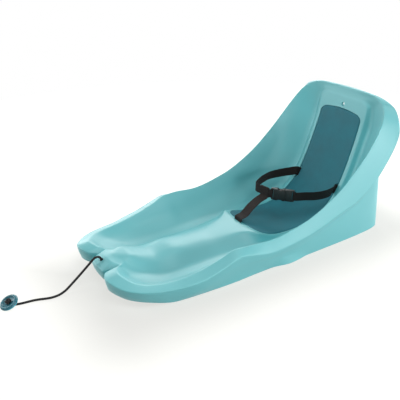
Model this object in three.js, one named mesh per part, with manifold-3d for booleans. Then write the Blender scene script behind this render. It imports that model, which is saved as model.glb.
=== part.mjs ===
// A pull sled for a baby: one moulded shell with two leg troughs, a raised middle, a seat and a
// backrest, with a foam pad, a waist belt, a crotch strap, a release buckle and a pull cord.
// Millimetres. X runs across, Y from the nose to the back, Z up. The origin is on the floor, below
// the middle of the shell.

import * as THREE from 'three';
import { mergeVertices } from 'three/addons/utils/BufferGeometryUtils.js';
import Module from 'manifold-3d';

// The shell's outline sizes, as its guide curves have them before the corners are rounded.
const LENGTH = 804;
const WIDTH = 384;
const HEIGHT = 359;
const WALL = 3;

// Roundings of the shell's long corners, from the middle of the seat out to the lower edge.
const SHOULDER_ROUNDING = 3.5;
const RIDGE_ROUNDING = 14;
const FOOT_ROUNDING = 9;
const VALLEY_ROUNDING = 18;
const SIDE_ROUNDING = 22;
const CREST_ROUNDING = 6;
const LIP_ROUNDING = 5;
const WAIST_ROUNDING = 8;

// The raised middle: how far its ridge rounds down and its seat dishes up at their edges.
const RIDGE_CROWN = 5;
const SEAT_DISH = 3;

// Keels under the leg troughs.
const KEEL_WIDTH = 5;
const KEEL_NOSE = 40;

// The foam pad and the recess that it lies in.
const PAD_THICKNESS = 6;
const PAD_SEAT_WIDTH = 160;
const PAD_TOP_WIDTH = 148;
const PAD_FRONT_CORNER = 32;
const PAD_TOP_CORNER = 15;
const PAD_EDGE = 5;
const PAD_FRONT_BOW = 7;
const PAD_TOP_BOW = 11;
const PAD_NOTCH_ROOM = 3;
const PAD_NOTCH_END_ROOM = 1;
const PAD_CLEARANCE = 1;
const RECESS_DEPTH = 5;

// Webbing, its slots in the shell and the rods that hold it behind them.
const WEBBING_THICKNESS = 1.6;
const BELT_WIDTH = 25;
const CROTCH_WIDTH = 30;
const SLOT_WIDTH = 3;
const SLOT_END_ROOM = 1.5;
const CROTCH_SLOT_LENGTH = 46;
const CROTCH_OFFSET = -7;
const ROD_DIAMETER = 5;
const ROD_OVERHANG = 4;
const ROD_CLEARANCE = 0.5;
const CROTCH_ROD_CLEARANCE = 2.3;
const SLOT_LEAD = 8;
const HOOK_TAIL = 5;
const LOOP_LEAD = 4;
const LOOP_TURN = 8;

// The release buckle of the belt.
const BUCKLE_HEIGHT = 34;
const BUCKLE_DEPTH = 12;
const SOCKET_LENGTH = 32;
const PLUG_LENGTH = 19;
const PLUG_DEPTH = 9;
const BUCKLE_BAR_DIAMETER = 3.2;
const BUCKLE_TURN = 40;
const SOCKET_WALL = 2.4;
const SOCKET_SIDE_WALL = 1.8;
const SOCKET_CAVITY_LENGTH = 21;
const SOCKET_WINDOW_LENGTH = 9;
const WINDOW_SETBACK = 9.5;
const GRIP_RIB_COUNT = 5;
const GRIP_RIB_WIDTH = 1.8;
const GRIP_RIB_PITCH = 3.6;
const GRIP_RIB_HEIGHT = 0.7;
const GUIDE_WIDTH = 7;
const GUIDE_END_ROOM = 0.9;
const LATCH_WIDTH = 3.2;
const LATCH_DEPTH = 5.6;
const LATCH_PIVOT_INSET = 7.5;
const LATCH_PIVOT_SEAT = 1.7;
const LATCH_HEAD_PROUD = 0.8;
const LATCH_SIDE_ROOM = 0.6;
const LATCH_SEAT_ROOM = 0.6;
const LATCH_TOP_ROOM = 0.6;
const LATCH_END_ROOM = 1.2;
const RAIL_ROOM = 0.6;

// The pull cord, its hole, its knots and its handle, and the hole that the sled hangs by with the
// opening behind it.
const CORD_DIAMETER = 5.5;
const CORD_HOLE_DIAMETER = 9;
const HANG_HOLE_DIAMETER = 9;
const REAR_OPENING_LENGTH = 64;
const REAR_OPENING_WIDTH = 30;
const KNOT_DIAMETER = 13;
const KNOT_LENGTH = 9;
const HANDLE_DIAMETER = 42.6;
const HANDLE_THICKNESS = 10;
const HANDLE_DISH_DIAMETER = 29;
const HANDLE_DISH_DEPTH = 4;

// Free space between pieces that touch, the overrun of cuts, and facet counts.
const CLEARANCE = 0.3;
const OVERRUN = 8;
const WELD = 0.0005;
const ROUND_SIDES = 24;
const CORD_SIDES = 10;
const CORD_STEPS = 52;

const HALF_LENGTH = LENGTH / 2;
const HALF_WIDTH = WIDTH / 2;
const HALF_WEBBING = WEBBING_THICKNESS / 2;
const ROD_RADIUS = ROD_DIAMETER / 2;

// Guide curves of the shell. Each row holds a station on the way round the right half of the rim,
// 0 at the nose, 9 at the knee, 15 and 16 at the upper corner and 18 at the top of the backrest,
// and then the place as shares of half the width, half the length and the height.
const footShares = [
  [0, 0, -0.851, 0.173], [1, 0.089, -0.846, 0.164], [2, 0.156, -0.826, 0.15],
  [3, 0.208, -0.816, 0.125], [4, 0.281, -0.776, 0.089], [5, 0.344, -0.706, 0.056],
  [6, 0.375, -0.632, 0.033], [7, 0.385, -0.557, 0.025], [8, 0.385, -0.458, 0.025],
  [9, 0.396, -0.269, 0.028], [10, 0.438, -0.035, 0.028], [10.35, 0.479, 0.085, 0.025],
  [11, 0.505, 0.254, 0.022], [11.6, 0.51, 0.478, 0.022], [12, 0.516, 0.637, 0.084],
  [12.6, 0.521, 0.784, 0.251], [13, 0.521, 0.838, 0.362], [14, 0.516, 0.91, 0.588],
  [15, 0.51, 0.953, 0.752], [16, 0.484, 0.963, 0.897], [17, 0.318, 0.955, 0.936],
  [18, 0, 0.955, 0.936],
];
const valleyShares = [
  [0, 0, -0.871, 0.17], [1, 0.104, -0.866, 0.162], [2, 0.182, -0.841, 0.148],
  [3, 0.25, -0.846, 0.128], [4, 0.365, -0.826, 0.095], [5, 0.458, -0.751, 0.067],
  [6, 0.531, -0.667, 0.036], [7, 0.552, -0.577, 0.028], [8, 0.552, -0.468, 0.025],
  [9, 0.562, -0.269, 0.028], [10, 0.583, -0.03, 0.031], [11, 0.604, 0.254, 0.033],
  [11.6, 0.615, 0.463, 0.045], [12, 0.615, 0.627, 0.095], [12.6, 0.615, 0.766, 0.256],
  [13, 0.615, 0.823, 0.373], [14, 0.604, 0.9, 0.596], [15, 0.583, 0.948, 0.763],
  [16, 0.531, 0.96, 0.914], [17, 0.344, 0.958, 0.953], [18, 0, 0.958, 0.953],
];
const wallShares = [
  [0, 0, -0.888, 0.17], [1, 0.115, -0.881, 0.162], [2, 0.198, -0.851, 0.148],
  [3, 0.266, -0.871, 0.145], [4, 0.401, -0.871, 0.128], [5, 0.542, -0.816, 0.097],
  [6, 0.656, -0.741, 0.078], [7, 0.729, -0.632, 0.075], [8, 0.766, -0.502, 0.086],
  [8.5, 0.776, -0.373, 0.106], [9, 0.786, -0.269, 0.123], [9.5, 0.786, -0.174, 0.106],
  [10, 0.802, -0.03, 0.106], [11, 0.818, 0.239, 0.134], [12, 0.828, 0.552, 0.234],
  [13, 0.818, 0.751, 0.451], [14, 0.786, 0.846, 0.643], [15, 0.729, 0.92, 0.813],
  [16, 0.594, 0.95, 0.947], [17, 0.375, 0.96, 0.969], [18, 0, 0.96, 0.969],
];
const crestShares = [
  [0, 0, -0.91, 0.17], [1, 0.125, -0.9, 0.164], [2, 0.214, -0.866, 0.15], [3, 0.286, -0.9, 0.167],
  [4, 0.427, -0.92, 0.175], [5, 0.594, -0.881, 0.148], [6, 0.719, -0.806, 0.131],
  [7, 0.797, -0.672, 0.128], [8, 0.833, -0.522, 0.148], [8.5, 0.854, -0.373, 0.195],
  [9, 0.875, -0.274, 0.237], [9.5, 0.901, -0.179, 0.237], [10, 0.911, -0.03, 0.223],
  [11, 0.927, 0.229, 0.273], [12, 0.932, 0.478, 0.404], [13, 0.922, 0.669, 0.579],
  [14, 0.901, 0.791, 0.727], [15, 0.833, 0.891, 0.875], [16, 0.677, 0.94, 0.964],
  [17, 0.417, 0.958, 0.997], [18, 0, 0.963, 1],
];
const lipShares = [
  [0, 0, -0.975, 0.134], [1, 0.161, -0.965, 0.128], [2, 0.203, -0.915, 0.131],
  [3, 0.271, -0.97, 0.15], [4, 0.438, -1, 0.162], [5, 0.656, -0.948, 0.134],
  [6, 0.823, -0.841, 0.12], [7, 0.927, -0.672, 0.111], [8, 0.99, -0.517, 0.128],
  [8.5, 1, -0.373, 0.173], [9, 1, -0.269, 0.209], [9.5, 1, -0.174, 0.184], [10, 1, -0.025, 0.15],
  [11, 1, 0.229, 0.173], [12, 1, 0.507, 0.262], [13, 1, 0.692, 0.334], [14, 0.995, 0.841, 0.468],
  [15, 0.99, 0.983, 0.752], [15.5, 0.945, 0.986, 0.852], [16, 0.833, 0.986, 0.939],
  [17, 0.49, 0.995, 0.986], [18, 0, 1, 0.994],
];
const tuckShares = [
  [0, 0, -0.975, 0.106], [1, 0.167, -0.963, 0.106], [2, 0.198, -0.92, 0.111],
  [3, 0.26, -0.965, 0.123], [4, 0.432, -0.995, 0.128], [5, 0.651, -0.945, 0.106],
  [6, 0.818, -0.838, 0.092], [7, 0.922, -0.672, 0.084], [8, 0.979, -0.517, 0.095],
  [9, 0.99, -0.269, 0.162], [10, 0.99, -0.025, 0.123], [11, 0.984, 0.229, 0.139],
  [12, 0.969, 0.507, 0.228], [13, 0.958, 0.692, 0.301], [14, 0.943, 0.841, 0.435],
  [15, 0.901, 0.965, 0.713], [16, 0.75, 0.985, 0.869], [17, 0.458, 0.995, 0.919],
  [18, 0, 0.998, 0.93],
];
const napeShares = [
  [0, 0, -0.973, 0.095], [1, 0.167, -0.963, 0.095], [2, 0.198, -0.92, 0.103],
  [3, 0.26, -0.965, 0.111], [4, 0.432, -0.993, 0.114], [5, 0.651, -0.945, 0.095],
  [6, 0.812, -0.838, 0.081], [7, 0.917, -0.672, 0.07], [8, 0.974, -0.517, 0.078],
  [9, 0.984, -0.269, 0.136], [10, 0.984, -0.025, 0.109], [11, 0.979, 0.229, 0.125],
  [12, 0.969, 0.507, 0.206], [13, 0.958, 0.692, 0.281], [14, 0.943, 0.841, 0.423],
  [15, 0.859, 0.953, 0.655], [16, 0.729, 0.985, 0.73], [17, 0.448, 0.99, 0.73], [18, 0, 0.99, 0.73],
];
const waistShares = [
  [0, 0, -0.97, 0.084], [1, 0.167, -0.96, 0.084], [2, 0.198, -0.92, 0.092], [3, 0.26, -0.965, 0.1],
  [4, 0.432, -0.99, 0.1], [5, 0.646, -0.943, 0.081], [6, 0.807, -0.838, 0.067],
  [7, 0.911, -0.672, 0.056], [8, 0.969, -0.517, 0.061], [9, 0.974, -0.269, 0.111],
  [10, 0.974, -0.025, 0.095], [11, 0.974, 0.229, 0.111], [12, 0.964, 0.507, 0.184],
  [13, 0.958, 0.692, 0.262], [14, 0.938, 0.841, 0.412], [15, 0.833, 0.92, 0.462],
  [16, 0.625, 0.905, 0.468], [17, 0.385, 0.898, 0.474], [18, 0, 0.896, 0.474],
];
const deckShares = [
  [0, 0, -0.965, 0.072], [1, 0.167, -0.958, 0.072], [2, 0.198, -0.92, 0.081],
  [3, 0.26, -0.963, 0.086], [4, 0.427, -0.985, 0.086], [5, 0.635, -0.94, 0.067],
  [6, 0.797, -0.836, 0.05], [7, 0.901, -0.672, 0.033], [8, 0.958, -0.517, 0.039],
  [9, 0.958, -0.269, 0.067], [10, 0.964, -0.025, 0.061], [11, 0.969, 0.229, 0.072],
  [12, 0.964, 0.507, 0.139], [13, 0.958, 0.692, 0.217], [14, 0.938, 0.846, 0.384],
  [15, 0.87, 0.915, 0.418], [16, 0.677, 0.95, 0.423], [17, 0.406, 0.96, 0.423],
  [18, 0, 0.96, 0.423],
];
const hemShares = [
  [0, 0, -0.96, 0.056], [1, 0.167, -0.955, 0.058], [2, 0.198, -0.92, 0.067],
  [3, 0.26, -0.96, 0.072], [4, 0.417, -0.983, 0.072], [5, 0.625, -0.935, 0.053],
  [6, 0.786, -0.831, 0.031], [7, 0.885, -0.667, 0], [8, 0.917, -0.517, 0], [9, 0.943, -0.269, 0],
  [9.6, 0.938, -0.137, 0], [10, 0.938, -0.025, 0], [10.5, 0.99, 0.124, 0], [10.8, 0.979, 0.199, 0],
  [11.1, 0.958, 0.274, 0], [12, 0.958, 0.507, 0], [13, 0.953, 0.692, 0], [14, 0.938, 0.836, 0],
  [14.6, 0.917, 0.91, 0], [15, 0.865, 0.965, 0], [16, 0.677, 0.975, 0], [17, 0.396, 0.975, 0],
  [18, 0, 0.975, 0],
];

// The middle of the shell from the nose to the top: a share of the way along, then Y and Z.
const profileShares = [
  [0, -0.871, 0.173], [0.034, -0.791, 0.173], [0.074, -0.697, 0.139], [0.113, -0.604, 0.111],
  [0.163, -0.488, 0.125], [0.212, -0.373, 0.111], [0.254, -0.274, 0.103], [0.296, -0.174, 0.095],
  [0.356, -0.035, 0.103], [0.394, 0.055, 0.106], [0.423, 0.124, 0.078], [0.478, 0.249, 0.042],
  [0.521, 0.348, 0.036], [0.574, 0.473, 0.039], [0.608, 0.552, 0.061], [0.642, 0.622, 0.106],
  [0.686, 0.701, 0.178], [0.726, 0.761, 0.262], [0.774, 0.811, 0.373], [0.823, 0.853, 0.496],
  [0.861, 0.881, 0.591], [0.908, 0.91, 0.696], [0.94, 0.929, 0.788], [0.974, 0.943, 0.877],
  [1, 0.953, 0.947],
];

// Where the raised middle ends: its share of the way along on the middle line and at its edge, and
// the edge's place across, by station.
const spineAlongShares = [
  [0, 0.034], [2, 0.047], [4, 0.074], [6, 0.113], [7, 0.14], [7.6, 0.163], [8, 0.18], [8.5, 0.212],
  [9, 0.254], [9.5, 0.296], [10, 0.356], [10.35, 0.394], [10.6, 0.423], [11, 0.478], [11.3, 0.521],
  [11.6, 0.574], [11.8, 0.608], [12, 0.642], [12.3, 0.686], [12.6, 0.726], [13, 0.774],
  [13.5, 0.823], [14, 0.861], [15, 0.908], [16, 0.931], [17, 0.944], [18, 0.948],
];
const shoulderAlongShares = [
  [0, 0.019], [1, 0.022], [2, 0.034], [3, 0.046], [4, 0.06], [5, 0.085], [6, 0.109], [7, 0.138],
  [7.6, 0.163], [8, 0.178], [9, 0.254], [9.5, 0.296], [10, 0.358], [10.2, 0.385], [10.35, 0.402],
  [10.6, 0.43], [11, 0.478], [11.3, 0.521], [11.6, 0.574], [11.8, 0.608], [12, 0.642],
  [12.3, 0.686], [12.6, 0.726], [13, 0.774], [13.5, 0.823], [14, 0.861], [15, 0.927], [16, 0.975],
  [17, 0.989], [18, 0.989],
];
const shoulderAcrossShares = [
  [0, 0], [1, 0.068], [2, 0.125], [3, 0.156], [4, 0.172], [5, 0.182], [6, 0.182], [7, 0.182],
  [8, 0.188], [9, 0.198], [9.5, 0.208], [10, 0.24], [10.2, 0.312], [10.35, 0.396], [10.6, 0.438],
  [11, 0.458], [12, 0.469], [13, 0.469], [14, 0.464], [15, 0.458], [16, 0.448], [17, 0.302],
  [18, 0],
];

const COLORS = {
  shell: 0x86ced3,
  pad: 0x3f7886,
  webbing: 0x242222,
  buckle: 0x1d1d1f,
  rod: 0x9a9da0,
  cord: 0x17181a,
  handle: 0x2f93a8,
};

const wasm = await Module();
wasm.setup();

const vec = (x, y, z) => new THREE.Vector3(x, y, z);
const mix = (a, b, t) => a + (b - a) * t;
const clamp01 = (t) => Math.min(1, Math.max(0, t));
const smooth = (t) => clamp01(t) ** 2 * (3 - 2 * clamp01(t));

// A smooth curve through values at given stations that never overshoots between them.
function easedCurve(stations, values) {
  const last = stations.length - 1;
  const step = stations.slice(1).map((s, i) => s - stations[i]);
  const rise = step.map((h, i) => (values[i + 1] - values[i]) / h);
  const slope = values.map((_, i) => {
    if (i === 0 || i === last) {
      return rise[Math.min(i, last - 1)];
    }
    if (rise[i - 1] * rise[i] <= 0) {
      return 0;
    }
    const before = 2 * step[i] + step[i - 1];
    const after = step[i] + 2 * step[i - 1];
    return (before + after) / (before / rise[i - 1] + after / rise[i]);
  });
  return (station) => {
    let i = 0;
    while (i < last - 1 && station > stations[i + 1]) {
      i += 1;
    }
    const h = step[i];
    const t = (station - stations[i]) / h;
    const left = (1 + 2 * t) * (1 - t) ** 2 * values[i] + t * (1 - t) ** 2 * h * slope[i];
    const right = t * t * (3 - 2 * t) * values[i + 1] + t * t * (t - 1) * h * slope[i + 1];
    return left + right;
  };
}

// A curve by station that runs on past both ends as the shell's other half does: signs has -1 for
// a value that changes sign there and 1 for one that doesn't.
function mirroredCurve(rows, signs) {
  const beyond = (row, end) => [
    2 * end[0] - row[0],
    ...row.slice(1).map((value, k) => value * signs[k]),
  ];
  const all = [
    beyond(rows[1], rows[0]),
    ...rows,
    beyond(rows[rows.length - 2], rows[rows.length - 1]),
  ];
  const stations = all.map((row) => row[0]);
  return signs.map((_, k) => easedCurve(stations, all.map((row) => row[k + 1])));
}

function guide(shares) {
  const [across, along, up] = mirroredCurve(shares, [-1, 1, 1]);
  return (u) => vec(across(u) * HALF_WIDTH, along(u) * HALF_LENGTH, up(u) * HEIGHT);
}

// The raised middle's top face, as a point at a share of the way along and a place across.
const profileAlong = profileShares.map((row) => row[0]);
const profileY = easedCurve(profileAlong, profileShares.map((row) => row[1] * HALF_LENGTH));
const profileZ = easedCurve(profileAlong, profileShares.map((row) => row[2] * HEIGHT));
const crownAlongShares = [0, 0.25, 0.4, 0.62, 0.72, 1];
const RIDGE_EDGE_SHARE = 0.1875;
const SEAT_EDGE_SHARE = 0.458;
const ridgeEdge = RIDGE_EDGE_SHARE * HALF_WIDTH;
const seatEdge = SEAT_EDGE_SHARE * HALF_WIDTH;
const crownAt = easedCurve(crownAlongShares, [
  -RIDGE_CROWN / ridgeEdge ** 2,
  -RIDGE_CROWN / ridgeEdge ** 2,
  SEAT_DISH / seatEdge ** 2,
  SEAT_DISH / seatEdge ** 2,
  0,
  0,
]);
const SMALL_SHARE = 0.002;

function profilePoint(along) {
  return vec(0, profileY(along), profileZ(along));
}

function profileTangent(along) {
  const ahead = profilePoint(Math.min(1, along + SMALL_SHARE));
  return ahead.sub(profilePoint(Math.max(0, along - SMALL_SHARE))).normalize();
}

function plateauPoint(along, x, lift = 0) {
  const tangent = profileTangent(along);
  const up = vec(0, -tangent.z, tangent.y);
  const crown = crownAt(along);
  const normal = up.clone().sub(vec(2 * crown * x, 0, 0)).normalize();
  return profilePoint(along)
    .add(vec(x, 0, 0))
    .addScaledVector(up, crown * x * x)
    .addScaledVector(normal, lift);
}

// The directions of the raised middle's face at a place: across it, along it and out of it.
function plateauFrame(along, x) {
  const tangent = profileTangent(along);
  const out = vec(-2 * crownAt(along) * x, -tangent.z, tangent.y).normalize();
  return { at: plateauPoint(along, x), along: tangent, out, across: tangent.clone().cross(out) };
}

const profileLength = (() => {
  const count = 200;
  let sum = 0;
  for (let i = 0; i < count; i += 1) {
    sum += profilePoint((i + 1) / count).distanceTo(profilePoint(i / count));
  }
  return sum;
})();

const [spineAlong] = mirroredCurve(spineAlongShares, [1]);
const [shoulderAlong] = mirroredCurve(shoulderAlongShares, [1]);
const [shoulderAcross] = mirroredCurve(shoulderAcrossShares, [-1]);
const roundingStations = [0, 9, 11, 18];
const shoulderRounding = easedCurve(roundingStations, [
  RIDGE_ROUNDING,
  RIDGE_ROUNDING,
  SHOULDER_ROUNDING,
  SHOULDER_ROUNDING,
]);

// The corners of a section, in order outwards: its guide, its rounding, and its facets on the
// outer and on the inner face.
const corners = [
  { at: guide(footShares), rounding: () => FOOT_ROUNDING, outer: 2, inner: 2 },
  { at: guide(valleyShares), rounding: () => VALLEY_ROUNDING, outer: 2, inner: 2 },
  { at: guide(wallShares), rounding: () => SIDE_ROUNDING, outer: 1, inner: 1 },
  { at: guide(crestShares), rounding: () => CREST_ROUNDING, outer: 2, inner: 1 },
  { at: guide(lipShares), rounding: () => LIP_ROUNDING, outer: 2, inner: 1 },
  { at: guide(tuckShares), rounding: () => 0, outer: 0, inner: 0 },
  { at: guide(napeShares), rounding: () => 0, outer: 0, inner: 0 },
  { at: guide(waistShares), rounding: () => WAIST_ROUNDING, outer: 1, inner: 1 },
  { at: guide(deckShares), rounding: () => 0, outer: 0, inner: 0 },
];
const hemGuide = guide(hemShares);
const MIDDLE_FACETS = 2;
const ROUNDING_LIMIT_SHARE = 0.46;

// The points of one section of the outer face, from the middle line out and down to the hem.
// Each says whether the inner face has it too, and whether it lies on the raised middle.
function section(u) {
  const half = shoulderAcross(u) * HALF_WIDTH;
  const curved = half > CLEARANCE;
  const middle = (t) =>
    plateauPoint(mix(spineAlong(u), shoulderAlong(u), curved ? t * t : t), half * t);
  const ends = [middle(1), ...corners.map((corner) => corner.at(u)), hemGuide(u)];
  const reach = [middle(0).distanceTo(ends[0])];
  for (let i = 1; i < ends.length; i += 1) {
    reach.push(ends[i].distanceTo(ends[i - 1]));
  }
  const list = [{ rounding: () => shoulderRounding(u), outer: 1, inner: 1 }, ...corners];
  const points = [];
  list.forEach((corner, i) => {
    const at = ends[i];
    const limit = ROUNDING_LIMIT_SHARE * Math.min(reach[i], reach[i + 1]);
    const back = Math.min(corner.rounding(), limit);
    if (i === 0) {
      const stop = 1 - back / Math.max(reach[0], CLEARANCE);
      for (let j = 0; j < MIDDLE_FACETS; j += 1) {
        points.push({ at: middle((stop * j) / MIDDLE_FACETS), inner: true, raised: 1 });
      }
    }
    const from = i === 0
      ? middle(1 - back / Math.max(reach[0], CLEARANCE))
      : at.clone().add(ends[i - 1].clone().sub(at).setLength(back));
    const to = at.clone().add(ends[i + 1].clone().sub(at).setLength(back));
    const raised = i === 0 ? 1 : 0;
    if (corner.outer === 0) {
      points.push({ at: at.clone(), inner: true, raised });
      return;
    }
    for (let k = 0; k <= corner.outer; k += 1) {
      const t = k / corner.outer;
      const point = from.clone().multiplyScalar((1 - t) ** 2);
      point.addScaledVector(at, 2 * t * (1 - t)).addScaledVector(to, t * t);
      const kept = corner.inner === corner.outer || k === 0 || k === corner.outer;
      points.push({ at: point, inner: kept, raised: raised * (1 - t / 2) });
    }
  });
  points.push({ at: ends[ends.length - 1], inner: true, raised: 0 });
  return points;
}

// Where sections are cut: from, to and how many, with more of them round the nose and the knee.
const sectionSpans = [[0, 5, 17], [5, 9, 8], [9, 11, 8], [11, 12.6, 8], [12.6, 15, 6], [15, 18, 8]];
const stationList = [0];
sectionSpans.forEach(([from, to, count]) => {
  for (let i = 1; i <= count; i += 1) {
    stationList.push(mix(from, to, i / count));
  }
});

const mirrored = (point) => vec(-point.x, point.y, point.z);

// Outward directions of the outer face's points, from their neighbours on both halves. Where the
// middle line meets the first and last sections, a point has no width beside it to turn by.
function faceNormals(rows) {
  const lastRow = rows.length - 1;
  const lastPoint = rows[0].length - 1;
  const get = (i, j) => {
    if (i < 0 || i > lastRow) {
      return mirrored(rows[i < 0 ? -i : 2 * lastRow - i][j].at);
    }
    return j < 0 ? mirrored(rows[i][-j].at) : rows[i][Math.min(j, lastPoint)].at;
  };
  const normals = rows.map((row, i) => row.map((_, j) => {
    const outwards = get(i, j + 1).clone().sub(get(i, j - 1));
    const onwards = get(i + 1, j).clone().sub(get(i - 1, j));
    const normal = outwards.cross(onwards);
    if (i === 0 || i === lastRow || j === 0) {
      normal.x = 0;
    }
    if (j === lastPoint) {
      normal.z = 0;
    }
    return normal.normalize();
  }));
  normals[0][0].copy(normals[0][1]);
  normals[lastRow][0].copy(normals[lastRow][1]);
  return normals;
}

// Gathers triangles over shared points.
class Mesher {
  constructor() {
    this.points = [];
    this.faces = [];
  }

  point(at) {
    this.points.push(at.x, at.y, at.z);
    return this.points.length / 3 - 1;
  }

  // Two triangles over four corners that are named against the clock, seen from outside.
  quad(a, b, c, d) {
    this.faces.push(a, b, c, a, c, d);
  }

  // Quads over a grid of point numbers. Flipped turns them over.
  grid(rows, flipped) {
    for (let i = 0; i + 1 < rows.length; i += 1) {
      for (let j = 0; j + 1 < rows[i].length; j += 1) {
        const ring = [rows[i][j], rows[i][j + 1], rows[i + 1][j + 1], rows[i + 1][j]];
        this.quad(...(flipped ? ring.reverse() : ring));
      }
    }
  }

  geometry() {
    const geometry = new THREE.BufferGeometry();
    geometry.setAttribute('position', new THREE.Float32BufferAttribute(this.points, 3));
    geometry.setIndex(this.faces);
    return geometry;
  }
}

// Under the pad the wall is thicker by the recess: it thickens between the middle two stations.
const padStations = [0, 9.6, 10.6, 18];

// The moulded wall as one closed mesh: the outer face, the inner face at its depth below it, both
// mirrored to the left half, and the narrow hem that joins them round the lower edge.
function mouldedWall() {
  const rows = stationList.map((u) => section(u));
  rows[0].concat(rows[rows.length - 1]).forEach((point) => {
    point.at.x = 0;
  });
  const normals = faceNormals(rows);
  const thickening = easedCurve(padStations, [0, 0, 1, 1]);
  const padded = (i) => smooth(thickening(stationList[i]));
  const inner = rows.map((row, i) => row
    .map((point, j) => ({
      at: point.at.clone().addScaledVector(
        normals[i][j],
        -(WALL + RECESS_DEPTH * point.raised * padded(i)),
      ),
      kept: point.inner,
    }))
    .filter((point) => point.kept)
    .map((point) => point.at));
  const outer = rows.map((row) => row.map((point) => point.at));
  const mesh = new Mesher();
  const number = (faces) => {
    const right = faces.map((row) => row.map((at) => mesh.point(at)));
    const left = faces.map((row, i) => row.map((at, j) => {
      const shared = i === 0 || i === faces.length - 1 || j === 0;
      return shared ? right[i][j] : mesh.point(mirrored(at));
    }));
    return { right, left };
  };
  const skin = number(outer);
  const lining = number(inner);
  mesh.grid(skin.right, false);
  mesh.grid(skin.left, true);
  mesh.grid(lining.right, true);
  mesh.grid(lining.left, false);
  const edge = (faces) => faces.map((row) => row[row.length - 1]);
  const strip = (outside, inside) => outside.map((point, i) => [point, inside[i]]);
  mesh.grid(strip(edge(skin.right), edge(lining.right)), false);
  mesh.grid(strip(edge(skin.left), edge(lining.left)), true);
  return mesh.geometry();
}

// Joins and cuts of closed meshes.
function toSolid(source) {
  const bare = source.clone();
  bare.deleteAttribute('normal');
  bare.deleteAttribute('uv');
  const merged = mergeVertices(bare, WELD);
  const triVerts = [];
  const index = merged.index.array;
  for (let i = 0; i < index.length; i += 3) {
    const [a, b, c] = [index[i], index[i + 1], index[i + 2]];
    if (a !== b && b !== c && c !== a) {
      triVerts.push(a, b, c);
    }
  }
  return new wasm.Manifold(new wasm.Mesh({
    numProp: 3,
    vertProperties: new Float32Array(merged.attributes.position.array),
    triVerts: new Uint32Array(triVerts),
  }));
}

function toGeometry(solid) {
  const mesh = solid.getMesh();
  const geometry = new THREE.BufferGeometry();
  geometry.setAttribute('position', new THREE.BufferAttribute(mesh.vertProperties, 3));
  geometry.setIndex(new THREE.BufferAttribute(mesh.triVerts, 1));
  return geometry;
}

const join = (first, ...others) => others.reduce((sum, next) => sum.add(next), first);
const cut = (first, ...tools) => tools.reduce((rest, tool) => rest.subtract(tool), first);

// An outline in its own plane, made into a plate of a thickness with its middle plane at zero.
function plate(outline, thickness) {
  const shape = new THREE.Shape(outline.map(([x, y]) => new THREE.Vector2(x, y)));
  const geometry = new THREE.ExtrudeGeometry(shape, {
    depth: thickness,
    bevelEnabled: false,
    curveSegments: ROUND_SIDES / 4,
  });
  return geometry.translate(0, 0, -thickness / 2);
}

// Puts a geometry into a frame: its X, Y and Z along three directions, its zero at a place.
function placed(geometry, x, y, z, at) {
  const matrix = new THREE.Matrix4().makeBasis(x, y, z).setPosition(at);
  return geometry.applyMatrix4(matrix);
}

// A stadium outline: a slot of a length along X and a width along Y with round ends.
function slotPlate(length, width, depth) {
  const shape = new THREE.Shape();
  const straight = (length - width) / 2;
  shape.absarc(straight, 0, width / 2, -Math.PI / 2, Math.PI / 2);
  shape.absarc(-straight, 0, width / 2, Math.PI / 2, Math.PI * 1.5);
  const geometry = new THREE.ExtrudeGeometry(shape, {
    depth,
    bevelEnabled: false,
    curveSegments: ROUND_SIDES / 4,
  });
  return geometry.translate(0, 0, -depth / 2);
}

function rodAlong(from, to, diameter) {
  const axis = to.clone().sub(from);
  const radius = diameter / 2;
  const geometry = new THREE.CylinderGeometry(radius, radius, axis.length(), ROUND_SIDES / 2);
  const turn = new THREE.Quaternion().setFromUnitVectors(vec(0, 1, 0), axis.normalize());
  return geometry.applyQuaternion(turn).translate(...from.add(to).multiplyScalar(0.5).toArray());
}

// The keels lie under the trough floors, at a share of the half width, from near the toes to the
// knee, and reach from the floor up into the wall.
const KEEL_ACROSS_SHARE = 0.479;
const KEEL_FRONT_SHARE = -0.58;
const KEEL_REAR_SHARE = 0.075;
const TROUGH_FLOOR_SHARE = 0.0235;

function keel(side) {
  const top = TROUGH_FLOOR_SHARE * HEIGHT - WALL / 2;
  const front = KEEL_FRONT_SHARE * HALF_LENGTH;
  const rear = KEEL_REAR_SHARE * HALF_LENGTH;
  const outline = [[front, top], [front + KEEL_NOSE, 0], [rear - KEEL_NOSE, 0], [rear, top]];
  const at = vec(side * KEEL_ACROSS_SHARE * HALF_WIDTH, 0, 0);
  return placed(plate(outline, KEEL_WIDTH), vec(0, 1, 0), vec(0, 0, 1), vec(1, 0, 0), at);
}

// The pad's outline on the raised middle. Its front lies just behind the crotch strap's slot. The
// belt's slots are in the recess, and the pad is notched round them.
const PAD_FRONT_SHARE = 0.4065;
const PAD_TOP_SHARE = 0.957;
const PAD_FOLD_SHARE = 0.642;
const BELT_SLOT_SHARE = 0.726;
const BELT_SLOT_ACROSS_SHARE = 0.39;
const CROTCH_SLOT_SHARE = 0.4;
const PAD_ROW_COUNT = 20;
const PAD_END_ROW_SHARES = [0, 0.1, 0.35, 1];
const PAD_FRONT_ROW_SHARE = 0.65;
const PAD_COLUMN_SHARES = [0, 0.35, 0.7];
const PAD_EDGE_STEP_SHARES = [1, 0.3, 0];
const PAD_EDGE_FLOOR_SHARE = 0.45;
const BOW_FADE_SHARE = 0.12;
const NOTCH_RAMP_SHARE = 0.08;

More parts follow.
